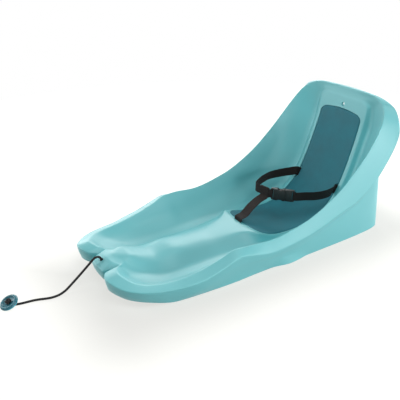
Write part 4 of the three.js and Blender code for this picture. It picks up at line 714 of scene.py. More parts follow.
def hole_tools():
    side, back = point(1, 0, 0), point(0, 1, 0)
    front, rear = point(0, middle_y(1), HANG_HEIGHT), point(0, REAR_SKIN, HANG_HEIGHT)
    hole, grip = hole_outline(HOLE / 2), slot_outline(GRIP_LENGTH, GRIP_TALL)
    up = np.cross(hole_out, side)
    return [
        flared_tool("cord_hole_tool", hole, hole_at, side, up, hole_out, depth=12, flare=1.0),
        flared_tool("hang_front_tool", hole, front, side, UP, -back, depth=10, flare=1.2),
        flared_tool("rear_grip_tool", grip, rear, side, UP, back, depth=7, flare=1.2),
    ]


# A keel runs under each leg trough, slanted at both ends.
KEEL_FRONT, KEEL_REAR, KEEL_SLANT = -0.58 * HALF_LENGTH, 0.075 * HALF_LENGTH, 40
KEEL_TOP, KEEL_ACROSS, KEEL_HALF = 0.0235 * HEIGHT - WALL / 2, 0.479 * HALF_WIDTH, 2.5


def keel(side):
    outline = [
        (KEEL_FRONT, KEEL_TOP), (KEEL_FRONT + KEEL_SLANT, 0), (KEEL_REAR - KEEL_SLANT, 0),
        (KEEL_REAR, KEEL_TOP),
    ]
    mould = Mould()
    mould.sleeve([
        [mould.add((side * KEEL_ACROSS + x, y, z)) for y, z in outline]
        for x in (-KEEL_HALF, KEEL_HALF)
    ])
    return outward(mould.piece("keel"))


# The foam pad and its recess. The pad runs from the seat's front edge past the fold up the back,
# and both of its ends are bowed.
PAD_SEAT, PAD_TOP, PAD_THICK = 160.0, 148.0, 6.0
FRONT_CORNER, TOP_CORNER, PAD_EDGE = 32.0, 15.0, 5
FRONT_BOW, TOP_BOW, BOW_OVER = 7, 11, 0.12 * middle_length
PRESSED_OVER, PRESSED_TO = 4.5, 0.4
WAVE_HEIGHT, RIPPLE_HEIGHT = 0.16, 0.1
PAD_ROWS, RECESS_ROWS, RECESS_ROOM, RECESS_CLEAR = 90, 60, 1.0, 8.0
NOTCH_OVER, NOTCH_RAMP = BELT / 2 + 2.5, 2.4
pad_front, pad_top = 0.4065 * middle_length, 0.957 * middle_length
pad_fold, notch_at = 0.642 * middle_length, SLOT_ALONG * middle_length


def pad_rows(count, notched):
    """The pad's rows: their lengths along the middle, half widths, and reaches to its end."""
    near = [0, 0.02, 0.06, 0.12, 0.2, 0.3, 0.42, 0.56, 0.72, 0.88, 1]
    taken = [pad_front + FRONT_CORNER * s for s in near] + [pad_top - TOP_CORNER * s for s in near]
    taken += [
        notch_at + way * (NOTCH_OVER + NOTCH_RAMP * s)
        for way in (-1, 1) for s in (-0.4, 0, 0.25, 0.5, 0.75, 1, 1.4)
    ]
    room = (pad_top - pad_front) / count / 2
    even = [mix(pad_front, pad_top, i / count) for i in range(1, count)]
    kept = [p for p in even if all(abs(p - q) > room for q in taken)]
    rows = []
    for place in sorted(taken + kept):
        narrowed = clamp((place - pad_fold) / (pad_top - pad_fold))
        half = mix(PAD_SEAT / 2, PAD_TOP / 2, narrowed)
        if notched:
            depth = soft_step(1 - (abs(place - notch_at) - NOTCH_OVER) / NOTCH_RAMP)
            half -= (half - SLOT_ACROSS + SLOT_WIDE) * depth
        to_front, to_top = place - pad_front, pad_top - place
        to_end, corner = min((to_front, FRONT_CORNER), (to_top, TOP_CORNER))
        half -= corner - math.sqrt(max(0, corner ** 2 - max(0, corner - to_end) ** 2))
        rows.append((place, half, to_end))
    return rows


def pad_slab(name, count, notched, grow, lower, upper):
    """A slab with the pad's outline on the raised middle, between two lifts."""
    mould, rows = Mould(), pad_rows(count, notched)
    inner = [0, 0.12, 0.24, 0.36, 0.48, 0.6, 0.72, 0.84, 0.93]
    outer = [1, 0.8, 0.6, 0.42, 0.26, 0.14, 0.05, 0]

    def bowed(place, x):
        fore = FRONT_BOW * clamp(1 - (place - pad_front) / BOW_OVER) ** 2
        aft = TOP_BOW * clamp(1 - (pad_top - place) / BOW_OVER) ** 2
        return (fore - aft) * (x / (PAD_SEAT / 2)) ** 2

    def face(lift):
        made = []
        for i, (place, narrow, to_end) in enumerate(rows):
            half, end = narrow + grow, grow * ((i == len(rows) - 1) - (i == 0))
            right = [s * (half - PAD_EDGE) for s in inner] + [half - s * PAD_EDGE for s in outer]
            across = [-x for x in right[:0:-1]] + right
            made.append([
                mould.add(raised_point(
                    (place + end + bowed(place, x)) / middle_length, x,
                    lift(half - abs(x), to_end, x, place),
                ))
                for x in across
            ])
        return made

    bottom, top = face(lower), face(upper)
    mould.grid(top)
    mould.grid(bottom, True)
    mould.grid([bottom[0], top[0]])
    mould.grid([top[-1], bottom[-1]])
    mould.grid([[row[0] for row in top], [row[0] for row in bottom]])
    mould.grid([[row[-1] for row in bottom], [row[-1] for row in top]])
    return outward(mould.piece(name))


def shell_piece():
    """The moulding with its keels, the pad's recess, the webbing's slots and the holes."""
    made = carve(moulding(), [keel(1), keel(-1)], "UNION")
    recess = pad_slab(
        "recess_tool", RECESS_ROWS, False, RECESS_ROOM, lambda *_: -RECESS, lambda *_: RECESS_CLEAR
    )
    carve(made, [recess, *[slot_tool(slot) for slot in slots.values()], *hole_tools()])
    return smooth_over(made, degrees=40)


def foam_pad():
    """The foam sheet: pressed round at its cut edge, with the slight waviness of foam."""
    floor = GAP - RECESS

    def top(to_side, to_end, x, place):
        inside = min(clamp(to_side / PRESSED_OVER), clamp(to_end / PRESSED_OVER))
        full = PRESSED_TO + (1 - PRESSED_TO) * math.sqrt(1 - (1 - inside) ** 2)
        wave = WAVE_HEIGHT * math.sin(place * 0.071 + x * 0.023) * math.sin(x * 0.052 + 1.3)
        wave += RIPPLE_HEIGHT * math.sin(place * 0.031 - x * 0.088 + 0.6)
        return floor + PAD_THICK * full + wave * inside

    slab = pad_slab("foam_pad", PAD_ROWS, True, 0, lambda *_: floor, top)
    return smooth_over(slab, degrees=55)


shell = shell_piece()
pad = foam_pad()


# The harness webbing. A route is a list of places with the direction of the width there. It hooks
# round a rod behind the shell's slot and round a bar of the buckle.
HOOK = ROD / 2 + GAP + WEBBING / 2
SOCKET_LENGTH, PLUG_LENGTH, BAR_RADIUS, BAR_LEAD = 32, 19, 1.6, 5
BAR_HOOK = BAR_RADIUS + GAP + WEBBING / 2
BAR_REACH = BAR_HOOK + WEBBING + GAP
MOUTH = (SOCKET_LENGTH - PLUG_LENGTH) / 2
SOCKET_BAR = MOUTH - SOCKET_LENGTH - BAR_REACH
PLUG_BAR = MOUTH + GAP + PLUG_LENGTH + BAR_REACH
BELT_RIGHT = [
    (0.443, 0.701, 0.27), (0.458, 0.639, 0.267), (0.417, 0.557, 0.265), (0.344, 0.498, 0.265),
]
BELT_LEFT = [
    (-0.438, 0.692, 0.27), (-0.484, 0.614, 0.267), (-0.505, 0.527, 0.265),
    (-0.458, 0.443, 0.265), (-0.375, 0.361, 0.265), (-0.297, 0.314, 0.265),
]
CROTCH_RISE = [(-0.07, 0.135, 0.13), (-0.1, 0.197, 0.165), (-0.113, 0.262, 0.2)]
LOOP_LEAD, LOOP_RADIUS, LOOP_END = 4, WEBBING + GAP, 104
HOOK_TURN, ARC_STEP, BELT_TURN_SHARE = 200, 12, 0.35


def rod_centre(slot):
    depth = WALL + RECESS + slot["rod_gap"] + ROD / 2
    return slot["at"] - slot["out"] * depth + slot["inward"] * HOOK


def arc(centre, radius, first, second, start, stop):
    count = math.ceil(abs(stop - start) / ARC_STEP)
    turns = [math.radians(mix(start, stop, i / count)) for i in range(count + 1)]
    return [centre + turned(first, second, a) * radius for a in turns]


def slot_hook(slot):
    shift = slot["wide"] * slot["shift"]
    turn = arc(rod_centre(slot) + shift, HOOK, -slot["inward"], -slot["out"], HOOK_TURN, 0)
    lead = [slot["at"] + shift + slot["out"] * height for height in (0, 4, 8)]
    return [(at, slot["wide"]) for at in turn + lead]


def level(degrees):
    """The level direction at an angle from the X axis."""
    return turned(point(1, 0, 0), point(0, 1, 0), math.radians(degrees))


def in_buckle(to_side, forwards):
    return buckle_at + to_plug * to_side + to_front * forwards


def bar_hook(bar, out):
    turn = arc(in_buckle(bar, 0), BAR_HOOK, to_plug * -out, to_front, -90, 90)
    tail, lead = [in_buckle(bar + out * BAR_LEAD, way * BAR_HOOK) for way in (-1, 1)]
    return [(at, UP) for at in [tail, *turn, lead]]


buckle_at = point(0.13 * HALF_WIDTH, 0.387 * HALF_LENGTH, 0.265 * HEIGHT)
to_plug, loop_along = level(40), level(8)
to_front, loop_front = np.cross(to_plug, UP), np.cross(loop_along, UP)
loop_at = in_buckle(SOCKET_BAR - BAR_LEAD, BAR_HOOK) - loop_along * (LOOP_LEAD + CROTCH / 2)


def free_route(start, stops, end, turn_share, steps):
    """Joins two fixed ends by a smooth run, while the width turns from one's way to the other's."""
    run = chain([start[-2][0], start[-1][0], *stops, end[0][0], end[1][0]])
    margin = 1 / (len(stops) + 3)
    between = []
    for share in (i / steps for i in range(1, steps)):
        wide = mix(start[-1][1], end[0][1], soft_step(share / turn_share))
        between.append((run(mix(margin, 1 - margin, share)), unit(wide)))
    return start + between + end


def by_shares(rows):
    return [point(x * HALF_WIDTH, y * HALF_LENGTH, z * HEIGHT) for x, y, z in rows]


def belt_right_route():
    end = bar_hook(PLUG_BAR, 1)[::-1]
    return free_route(slot_hook(slots["right"]), by_shares(BELT_RIGHT), end, BELT_TURN_SHARE, 90)


def belt_left_route():
    """The left half, which goes through the crotch strap's loop on its way to the socket."""
    half = CROTCH / 2
    through = [-half - LOOP_LEAD, -half - GAP, -half / 2, 0, half / 2, half + GAP]
    stops = by_shares(BELT_LEFT) + [loop_at + loop_along * x for x in through]
    end = bar_hook(SOCKET_BAR, -1)[::-1]
    return free_route(slot_hook(slots["left"]), stops, end, BELT_TURN_SHARE, 120)


def crotch_route():
    above, below = loop_at + UP * BELT / 2, loop_at - UP * BELT / 2
    over = arc(above, LOOP_RADIUS, loop_front, UP, 0, 180)
    under = arc(below, LOOP_RADIUS, -loop_front, -UP, 0, LOOP_END)
    front = below + loop_front * LOOP_RADIUS
    down = [mix(front, over[0], s) for s in (0, 0.25, 0.5, 0.75)]
    back = [mix(over[-1], under[0], s) for s in (0.25, 0.5, 0.75)]
    loop = [(at, loop_along) for at in [*down, *over, *back, *under]]
    return free_route(slot_hook(slots["crotch"]), by_shares(CROTCH_RISE), loop, 1, 60)


def laid(route):
    """A route's places with their length so far and the directions across and out."""
    path = [at for at, _ in route]
    made = []
    for (at, wide), length, ahead in zip(route, lengths(path), headings(path)):
        across = unit(wide - ahead * wide.dot(ahead))
        made.append((at, length, across, np.cross(ahead, across)))
    return made


def webbing(name, route, width):
    """Flat webbing with rounded selvages, and its own places for the weave."""
    half, thick = width / 2, WEBBING / 2
    top = [
        (-half, 0.45), (-half + 0.25, 0.85), (-half + 0.9, 1),
        *[(x * half, 0.96) for x in (-0.8, -0.5, -0.2, 0.2, 0.5, 0.8)],
        (half - 0.9, 1), (half - 0.25, 0.85), (half, 0.45),
    ]
    ring = [(x * way, y * thick * way) for way in (1, -1) for x, y in top]
    mould = Mould()
    mould.sleeve([
        [mould.add(at + across * x + out * y, (x * MM, length * MM)) for x, y in ring]
        for at, length, across, out in laid(route)
    ])
    return smooth_over(outward(mould.piece(name)), degrees=60)


crotch_strap_route = crotch_route()
belt_left = webbing("belt_left", belt_left_route(), BELT)
belt_right = webbing("belt_right", belt_right_route(), BELT)
crotch = webbing("crotch_webbing", crotch_strap_route, CROTCH)


# The buckle's pieces and the rods, with the rounding of their edges in millimetres. Faces within
# one angle, in degrees, are one flat face, and edges past another are rounded.
FLAT_WITHIN, ROUNDED_PAST, ROUNDING_STEPS = 1.5, 28, 3
EDGE_ROUNDING = {
    "buckle_socket": 0.45, "buckle_plug": 0.45, "buckle_latch_upper": 0.3,
    "buckle_latch_lower": 0.3, "strap_rod_left": 0.4, "strap_rod_right": 0.4,
    "strap_rod_crotch": 0.4,
}


def rounded_copy(node, edge):
    """A copy of a CAD node with its flat faces joined and its edges rounded."""
    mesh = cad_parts[node].data.copy()
    mesh.materials.clear()
    work = bmesh.new()
    work.from_mesh(mesh)
    bmesh.ops.remove_doubles(work, verts=work.verts, dist=1e-6)
    bmesh.ops.dissolve_limit(
        work, angle_limit=math.radians(FLAT_WITHIN), verts=work.verts, edges=work.edges
    )
    work.to_mesh(mesh)
    work.free()
    obj = placed(node + "_moulding", mesh)
    round_off = obj.modifiers.new("round_off", "BEVEL")
    round_off.width, round_off.segments = edge * MM, ROUNDING_STEPS
    round_off.limit_method, round_off.angle_limit = "ANGLE", math.radians(ROUNDED_PAST)
    round_off.use_clamp_overlap = True
    return smooth_over(settled(obj), degrees=42)


hard_pieces = {node: rounded_copy(node, edge) for node, edge in EDGE_ROUNDING.items()}


# Finishes.
def put(tree, value, socket):
    """Links another node's output to a socket, or sets the socket to a value."""
    if isinstance(value, bpy.types.NodeSocket):
        tree.links.new(value, socket)
    else:
        socket.default_value = value


def add(tree, kind, **settings):
    """A node. A setting is one of its own or, after in_, what one of its sockets takes."""
    made = tree.nodes.new(kind)
    for key, value in settings.items():
        if not key.startswith("in_"):
            setattr(made, key, value)
    for key, value in settings.items():
        if key.startswith("in_"):
            slot = key[3:]
            slot = int(slot) if slot.isdigit() else slot.replace("_", " ")
            put(tree, value, made.inputs[slot])
    return made


class Finish:
    """A material, with short ways to add nodes to it."""

    def __init__(self, name, color, roughness, **sockets):
        self.material = bpy.data.materials.new(name)
        self.material.use_nodes = True
        self.tree = self.material.node_tree
        self.shader = self.tree.nodes["Principled BSDF"]
        sockets |= {"Base_Color": color, "Roughness": roughness}
        for socket, value in sockets.items():
            self.shader.inputs[socket.replace("_", " ")].default_value = value
        self.at = self.add("ShaderNodeTexCoord").outputs["Object"]

    def add(self, kind, **settings):
        return add(self.tree, kind, **settings)

    def cloth(self):
        """The places across and along on the piece's own cloth."""
        place = self.add("ShaderNodeUVMap", uv_map="cloth").outputs["UV"]
        parts = self.add("ShaderNodeSeparateXYZ", in_Vector=place).outputs
        return parts[0], parts[1]

    def stretched(self, *scale):
        return self.add("ShaderNodeMapping", in_Vector=self.at, in_Scale=scale).outputs[0]

    def noise(self, scale, detail=2.0, rough=0.5, at=None):
        return self.add(
            "ShaderNodeTexNoise", in_Vector=self.at if at is None else at, in_Scale=scale,
            in_Detail=detail, in_Roughness=rough,
        ).outputs[0]

    def math(self, operation, a, b=0.0):
        return self.add("ShaderNodeMath", operation=operation, in_0=a, in_1=b).outputs[0]

    def times(self, a, b):
        return self.math("MULTIPLY", a, b)

    def swell(self, angle):
        """Rises and falls between 0 and 1 twice in each turn."""
        return self.math("ABSOLUTE", self.math("SINE", angle))

    def spread(self, value, low=0.3, high=0.7, to_low=0.0, to_high=1.0, way="LINEAR"):
        return self.add(
            "ShaderNodeMapRange", interpolation_type=way, in_Value=value, in_1=low, in_2=high,
            in_3=to_low, in_4=to_high,
        ).outputs[0]

    def blend(self, share, a, b):
        return self.add("ShaderNodeMix", data_type="RGBA", in_0=share, in_6=a, in_7=b).outputs[2]

    def color(self, value):
        put(self.tree, value, self.shader.inputs["Base Color"])

    def roughness(self, cloud, low, high):
        put(self.tree, self.spread(cloud, to_low=low, to_high=high), self.shader.inputs["Roughness"])

    def relief(self, height, distance, strength, after=None):
        """Raises the surface by a height, over what another relief has raised before."""
        made = self.add(
            "ShaderNodeBump", in_Height=height, in_Distance=distance, in_Strength=strength
        )
        if after is not None:
            put(self.tree, after, made.inputs["Normal"])
        put(self.tree, made.outputs[0], self.shader.inputs["Normal"])
        return made.outputs[0]


def tone(red, green, blue):
    """A colour as a screen shows it, turned into the shader's own scale."""
    shares = [c / 255 for c in (red, green, blue)]
    return (*[c / 12.92 if c <= 0.04045 else ((c + 0.055) / 1.055) ** 2.4 for c in shares], 1.0)


def shell_plastic():
    """Moulded polyethylene: one even colour, a fine grain and a soft gloss, scuffed at the keels."""
    made = Finish(
        "shell_plastic", tone(90, 187, 193), 0.6, IOR=1.5, Specular_IOR_Level=1.0,
        Coat_Weight=0.9, Coat_Roughness=0.45,
    )
    cloud = made.noise(7.0)
    even = made.blend(made.spread(cloud), tone(87, 185, 191), tone(93, 189, 195))
    scuffs = made.spread(made.noise(6.0, 6.0, 0.7, made.stretched(60.0, 7.0, 60.0)), 0.62, 0.72)
    up = made.add("ShaderNodeSeparateXYZ", in_Vector=made.at).outputs[2]
    near_floor = made.spread(up, 0.012, 0.0, 0.0, 0.5)
    made.color(made.blend(made.times(scuffs, near_floor), even, tone(190, 222, 224)))
    grain = made.noise(900.0)
    made.roughness(grain, 0.55, 0.65)
    skin = made.relief(grain, 0.00004, 0.5)
    made.relief(made.noise(38.0, 2.0, 0.4), 0.00015, 0.3, skin)
    return made.material


def pad_foam():
    """Closed foam: a cloudy felted colour, with painted shade in its pores."""
    made = Finish(
        "pad_foam", tone(40, 119, 133), 0.62, IOR=1.45, Sheen_Weight=0.05, Sheen_Roughness=0.5
    )
    cloud = made.noise(14.0, 4.0, 0.6)
    cells = made.add(
        "ShaderNodeTexVoronoi", in_Vector=made.at, in_Scale=900.0, feature="F1"
    ).outputs["Distance"]
    shade = made.blend(made.spread(cloud), tone(34, 110, 124), tone(46, 129, 144))
    # Painted shade: the pores, which the relief below sinks, are darkened.
    pores = made.spread(cells, 0.0, 0.35, 0.55, 0.0)
    made.color(made.blend(pores, shade, tone(30, 84, 97)))
    made.roughness(cloud, 0.56, 0.7)
    fine = made.relief(cells, 0.00025, 0.5)
    made.relief(made.noise(120.0, 3.0), 0.0003, 0.4, fine)
    return made.material


def black_webbing():
    """Ribbed webbing: fine ribs across it, in columns along it that are half a rib apart."""
    dark, light = tone(26, 22, 21), tone(50, 42, 40)
    made = Finish(
        "black_webbing", dark, 0.78, IOR=1.4, Specular_IOR_Level=0.35, Sheen_Weight=0.05,
        Sheen_Roughness=0.4,
    )
    column_width, rib_length = 0.0021, 0.0016
    across, along = made.cloth()
    columns = made.times(across, 2 * math.pi / column_width)
    shift = made.times(made.math("SIGN", made.math("SINE", columns)), math.pi / 2)
    ribs = made.math("ADD", made.times(along, 2 * math.pi / rib_length), shift)
    picks = made.math("POWER", made.swell(ribs), 0.6)
    height = made.times(picks, made.math("POWER", made.swell(columns), 0.5))
    fibre = made.noise(1800.0, 3.0, 0.6)
    # Painted highlight and shade: the ribs' tops are lighter and the grooves darker, broken up by the
    # fibres' random tone.
    made.color(made.blend(made.times(height, fibre), dark, light))
    made.roughness(fibre, 0.7, 0.88)
    made.relief(height, 0.00035, 0.8, made.relief(fibre, 0.00008, 0.4))
    return made.material


def buckle_plastic():
    """Hard black plastic, a little polished where it is handled."""
    made = Finish("buckle_plastic", tone(27, 24, 23), 0.4, IOR=1.5)
    handled = made.noise(60.0, 4.0, 0.6)
    made.color(made.blend(made.spread(handled, 0.35), tone(24, 21, 20), tone(37, 33, 32)))
    made.roughness(handled, 0.34, 0.48)
    made.relief(made.noise(2600.0), 0.00003, 0.7)
    return made.material


def drawn_steel():
    """The rods' steel, with streaks along them."""
    made = Finish("drawn_steel", tone(178, 180, 184), 0.32, Metallic=1.0)
    streaks = made.noise(120.0, 4.0, 0.6, made.stretched(1.0, 30.0, 30.0))
    made.color(made.blend(streaks, tone(150, 152, 156), tone(196, 198, 202)))
    made.roughness(streaks, 0.25, 0.42)
    made.relief(streaks, 0.00002, 0.4)
    return made.material


def rope_braid():
    """A braided cover: plaits that cross over each other on two opposed spirals."""
    made = Finish(
        "rope_braid", tone(13, 13, 14), 0.75, IOR=1.4, Sheen_Weight=0.05, Sheen_Roughness=0.4
    )
    plaits_round, pitch = 4, 0.0052
    turn, along = made.cloth()
    round_it = made.times(turn, plaits_round * 2 * math.pi)
    onwards = made.times(along, 2 * math.pi / pitch)
    one, two = made.math("ADD", round_it, onwards), made.math("SUBTRACT", round_it, onwards)
    over = made.math("ABSOLUTE", made.times(made.math("SINE", one), made.math("SINE", two)))
    height = made.math("POWER", over, 0.5)
    strands = made.math("SINE", made.times(one, 5.0))
    fibre = made.noise(1500.0, 3.0, 0.6)
    # Painted highlight and shade: the plaits' crowns are lighter and the hollows between them darker,
    # broken up by the fibres' random tone.
    made.color(made.blend(made.times(height, fibre), tone(6, 6, 7), tone(46, 45, 47)))
    made.roughness(fibre, 0.66, 0.85)
    fine = made.relief(made.math("ADD", strands, fibre), 0.00006, 0.4)
    made.relief(height, 0.0006, 0.9, fine)
    return made.material


def handle_plastic():
    """The handle's thin edge is painted bright on its back half, as light let through from behind; its
    thick dished face isn't.
    """
    made = Finish(
        "handle_plastic", tone(30, 116, 132), 0.35, IOR=1.5, Subsurface_Weight=0.1,
        Subsurface_Radius=(0.002, 0.004, 0.005),
    )
    out, up = made.cloth()
    # Painted light: the rim's back half is painted bright, as light let through the thin edge.
    lit = made.times(made.spread(out, 0.66, 0.98), made.spread(up, 0.003, -0.003))
    cloud = made.noise(70.0, 4.0, 0.6)
    face = made.blend(cloud, tone(24, 104, 120), tone(38, 126, 142))
    made.color(made.blend(lit, face, tone(40, 196, 218)))
    made.roughness(cloud, 0.28, 0.42)
    made.relief(made.noise(1400.0), 0.00003, 0.6)
    return made.material


def sewing_thread():
    made = Finish("sewing_thread", tone(44, 43, 44), 0.7)
    twist = made.noise(4200.0)
    made.color(made.blend(twist, tone(30, 29, 30), tone(70, 69, 70)))
    made.relief(twist, 0.00005, 0.6)
    return made.material


webbing_finish, rope_finish, thread_finish = black_webbing(), rope_braid(), sewing_thread()
hard_plastic, steel = buckle_plastic(), drawn_steel()


# The sewing: a boxed cross below the crotch strap's loop, between two lengths from the loop.
SEAM_FROM, SEAM_TO, SEAM_HALF, SEAM_LIFT = 17, 4, CROTCH / 2 - 3, WEBBING / 2 + 0.12
STITCH_PITCH, THREAD_RADIUS, HALF_STITCH_SHARE = 0.0026, 0.00027, 0.4


def seam_lines():
    """The two long sides of the box, its two ends and its two diagonals."""
    run = laid(crotch_strap_route)
    loop = 2 * (BELT + math.pi * LOOP_RADIUS / 2)
    start, stop = run[-1][1] - loop - SEAM_FROM, run[-1][1] - loop - SEAM_TO
    box = [place for place in run if start <= place[1] <= stop]

    def on_top(place, x):
        at, _, across, out = place
        return at + across * x + out * SEAM_LIFT

    def end(length):
        nearest = min(run, key=lambda place: abs(place[1] - length))
        return [on_top(nearest, SEAM_HALF * s) for s in (-1, -0.5, 0, 0.5, 1)]

    sides = [[on_top(place, x) for place in box] for x in (-SEAM_HALF, SEAM_HALF)]
    diagonals = [
        [
            on_top(place, way * mix(-SEAM_HALF, SEAM_HALF, i / (len(box) - 1)))
            for i, place in enumerate(box)
        ]
        for way in (-1, 1)
    ]
    return [end(stop), end(start), *sides, *diagonals]


def stitch_tree():
    """Sews stitches along lines. Its named inputs are their pitch, the thread and its radius."""
    tree = bpy.data.node_groups.new("stitching", "GeometryNodeTree")
    sockets = {
        name: tree.interface.new_socket(name, in_out="INPUT", socket_type="NodeSocket" + kind)
        for name, kind in (
            ("Seam", "Geometry"), ("Stitch pitch", "Float"), ("Thread radius", "Float"),
            ("Thread", "Material"),
        )
    }
    tree.interface.new_socket("Stitches", in_out="OUTPUT", socket_type="NodeSocketGeometry")
    given = add(tree, "NodeGroupInput").outputs
    pitch, radius = given["Stitch pitch"], given["Thread radius"]
    line = add(tree, "GeometryNodeMeshToCurve", in_Mesh=given["Seam"]).outputs["Curve"]
    places = add(
        tree, "GeometryNodeCurveToPoints", mode="LENGTH", in_Curve=line, in_Length=pitch
    ).outputs
    ball = add(tree, "GeometryNodeMeshUVSphere", in_Segments=8, in_Rings=6, in_Radius=1.0)
    half_length = add(
        tree, "ShaderNodeMath", operation="MULTIPLY", in_0=pitch, in_1=HALF_STITCH_SHARE
    )
    size = add(
        tree, "ShaderNodeCombineXYZ", in_X=radius, in_Y=radius, in_Z=half_length.outputs[0]
    )
    sown = add(
        tree, "GeometryNodeInstanceOnPoints", in_Points=places["Points"],
        in_Instance=ball.outputs["Mesh"], in_Rotation=places["Rotation"], in_Scale=size.outputs[0],
    )
    real = add(tree, "GeometryNodeRealizeInstances", in_Geometry=sown.outputs["Instances"])
    coat = add(
        tree, "GeometryNodeSetMaterial", in_Geometry=real.outputs["Geometry"],
        in_Material=given["Thread"],
    )
    add(tree, "NodeGroupOutput", in_Stitches=coat.outputs["Geometry"])
    return tree, sockets


def harness_stitching():
    name, points, edges = "harness_stitching", [], []
    for line in seam_lines():
        first = len(points)
        points += [tuple(float(v) * MM for v in p) for p in line]
        edges += [(i, i + 1) for i in range(first, len(points) - 1)]
    mesh = bpy.data.meshes.new(name)
    mesh.from_pydata(points, edges, [])
    obj = placed(name, mesh)
    sew = obj.modifiers.new("sew", "NODES")
    sew.node_group, sockets = stitch_tree()
    sew[sockets["Stitch pitch"].identifier] = STITCH_PITCH
    sew[sockets["Thread radius"].identifier] = THREAD_RADIUS
    sew[sockets["Thread"].identifier] = thread_finish
    return smooth_over(settled(obj), degrees=60)


def dress(obj, finish, body, slot, *nodes):
    """Gives a piece its finish, hangs it on its body and hides the CAD nodes that it stands for."""
    obj.data.materials.clear()
    obj.data.materials.append(finish)
    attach(obj, body)
    if nodes:
        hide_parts(*nodes)


dress(shell, shell_plastic(), "sled", "shell", "shell")
dress(pad, pad_foam(), "sled", "pad", "seat_pad")
dress(belt_left, webbing_finish, "sled", "webbing", "waist_strap_left")
dress(belt_right, webbing_finish, "sled", "webbing", "waist_strap_right")
dress(crotch, webbing_finish, "sled", "webbing", "crotch_strap")
dress(harness_stitching(), thread_finish, "sled", "webbing")
latch_bodies = {"buckle_latch_upper": "latch_upper", "buckle_latch_lower": "latch_lower"}
for node, piece in hard_pieces.items():
    finish, slot = (steel, "rod") if node.startswith("strap_rod") else (hard_plastic, "buckle")
    dress(piece, finish, latch_bodies.get(node, "sled"), slot, node)
dress(cord, rope_finish, "sled", "cord", "pull_cord")
dress(nose_knot, rope_finish, "sled", "cord", "cord_knot_nose")
dress(handle_knot, rope_finish, "sled", "cord", "cord_knot_handle")
dress(handle, handle_plastic(), "sled", "handle", "pull_handle")

cord_length = lengths(route)[-1] * MM


# The floor and the light, in metres and watts. Each lamp has its place, size and power.
FLOOR_REACH, FLOOR_DROP, FLOOR_SIDES = 1.7, 0.0003, 64
# The floor's glow runs from a dim value near the sled, a painted shadow, to white in the open, and its
# tint warms that painted shadow.
FLOOR_SHADE, FLOOR_GLOW, FLOOR_TINT = (0.2, 0.2, 0.2, 1), (0.67, 0.94), (1, 1, 0.96, 1)
FLOOR_BOUNCE = (0.6, 0.6, 0.6, 1)
# The painted shadow fills a box round the sled, fades out over a distance, and dies away across the far
# side.
PAINTED_SHADOW_BOX, PAINTED_SHADOW_FADE, PAINTED_SHADOW_FAR_SIDE = (0.19, 0.4, 0), 0.2, (-0.05, -0.2)
LAMP_AIM = (0, 0.05, 0.12)
LAMPS = (
    ("right_low", (2.17, 0.05, 0.5), 0.9, 13.0),
    ("rear_right_low", (1.7, 1.4, 0.35), 1.0, 15.0),
    ("rear_low", (0, 2.22, 0.7), 1.1, 23.0),
    ("left_low", (-2.17, 0.05, 0.5), 0.9, 8.0),
    ("front_left_low", (-1.53, -1.48, 0.4), 0.9, 7.5),
    ("front_left_high", (-0.9, -1.6, 1.3), 1.2, 13.0),
    ("rear_left_high", (-1.4, 1.15, 1.3), 1.4, 19.0),
    ("top_right", (0.9, -0.1, 2.1), 1.3, 17.0),
)


def seen_rays(tree):
    """1 where the camera sees a surface itself, in a gloss or through glass, otherwise 0."""
    rays = add(tree, "ShaderNodeLightPath").outputs
    seen = rays["Is Camera Ray"]
    for other in ("Is Glossy Ray", "Is Transmission Ray"):
        seen = add(
            tree, "ShaderNodeMath", operation="MAXIMUM", in_0=seen, in_1=rays[other]
        ).outputs[0]
    return seen


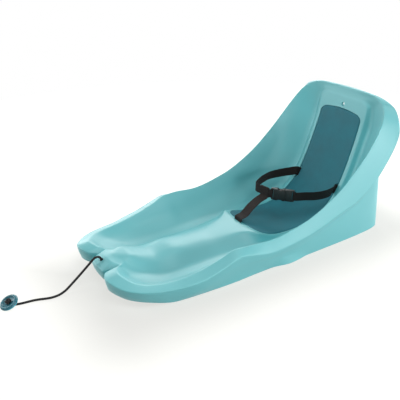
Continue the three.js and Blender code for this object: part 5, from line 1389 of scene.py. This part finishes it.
def floor_glow_with_painted_shadow(made):
    """The floor's own glow, which dims near the sled, most on its near side: a painted shadow, which
    also lets the lamps' own shadow show.
    """
    def vector(operation, a, b=(0, 0, 0)):
        return made.add("ShaderNodeVectorMath", operation=operation, in_0=a, in_1=b).outputs

    outside = vector("SUBTRACT", vector("ABSOLUTE", made.at)[0], PAINTED_SHADOW_BOX)[0]
    away = vector("LENGTH", vector("MAXIMUM", outside)[0])["Value"]
    near = made.spread(away, 0.0, PAINTED_SHADOW_FADE, *FLOOR_GLOW, way="SMOOTHSTEP")
    across = made.add("ShaderNodeSeparateXYZ", in_Vector=made.at).outputs[0]
    return made.math("MAXIMUM", near, made.spread(across, *PAINTED_SHADOW_FAR_SIDE, *FLOOR_GLOW))


def white_floor():
    """A pale floor that shows as white, with a painted shadow where its glow dims near the sled, and
    keeps the lamps' shadow.
    """
    mesh = bpy.data.meshes.new("studio_floor")
    edge = [
        (FLOOR_REACH * math.cos(a), FLOOR_REACH * math.sin(a), -FLOOR_DROP)
        for a in full_turn(FLOOR_SIDES)
    ]
    mesh.from_pydata(edge, [], [tuple(range(FLOOR_SIDES))])
    floor = placed("studio_floor", mesh)
    made = Finish("studio_floor", FLOOR_BOUNCE, 0.6, Specular_IOR_Level=0.0)
    shaded = made.add("ShaderNodeBsdfDiffuse", in_Color=FLOOR_SHADE)
    glow = made.add(
        "ShaderNodeEmission", in_Color=FLOOR_TINT, in_Strength=floor_glow_with_painted_shadow(made)
    )
    shown = made.add("ShaderNodeAddShader", in_0=shaded.outputs[0], in_1=glow.outputs[0])
    either = made.add(
        "ShaderNodeMixShader", in_0=seen_rays(made.tree), in_1=made.shader.outputs[0],
        in_2=shown.outputs[0],
    )
    put(made.tree, either.outputs[0], made.tree.nodes["Material Output"].inputs["Surface"])
    mesh.materials.append(made.material)


def studio_light():
    """A world that is white where it is seen and gives no light, and the lamps."""
    world = bpy.data.worlds.new("studio")
    bpy.context.scene.world = world
    world.use_nodes = True
    sky = world.node_tree.nodes["Background"].inputs
    sky["Color"].default_value = (1, 1, 1, 1)
    put(world.node_tree, seen_rays(world.node_tree), sky["Strength"])
    for name, at, size, power in LAMPS:
        lamp = bpy.data.lights.new(name, "AREA")
        lamp.energy, lamp.size, lamp.shape = power, size, "DISK"
        obj = placed(name, lamp)
        obj.location = at
        obj.rotation_euler = (Vector(LAMP_AIM) - Vector(at)).to_track_quat("-Z", "Y").to_euler()


white_floor()
studio_light()
bpy.context.scene.view_settings.view_transform = "Standard"
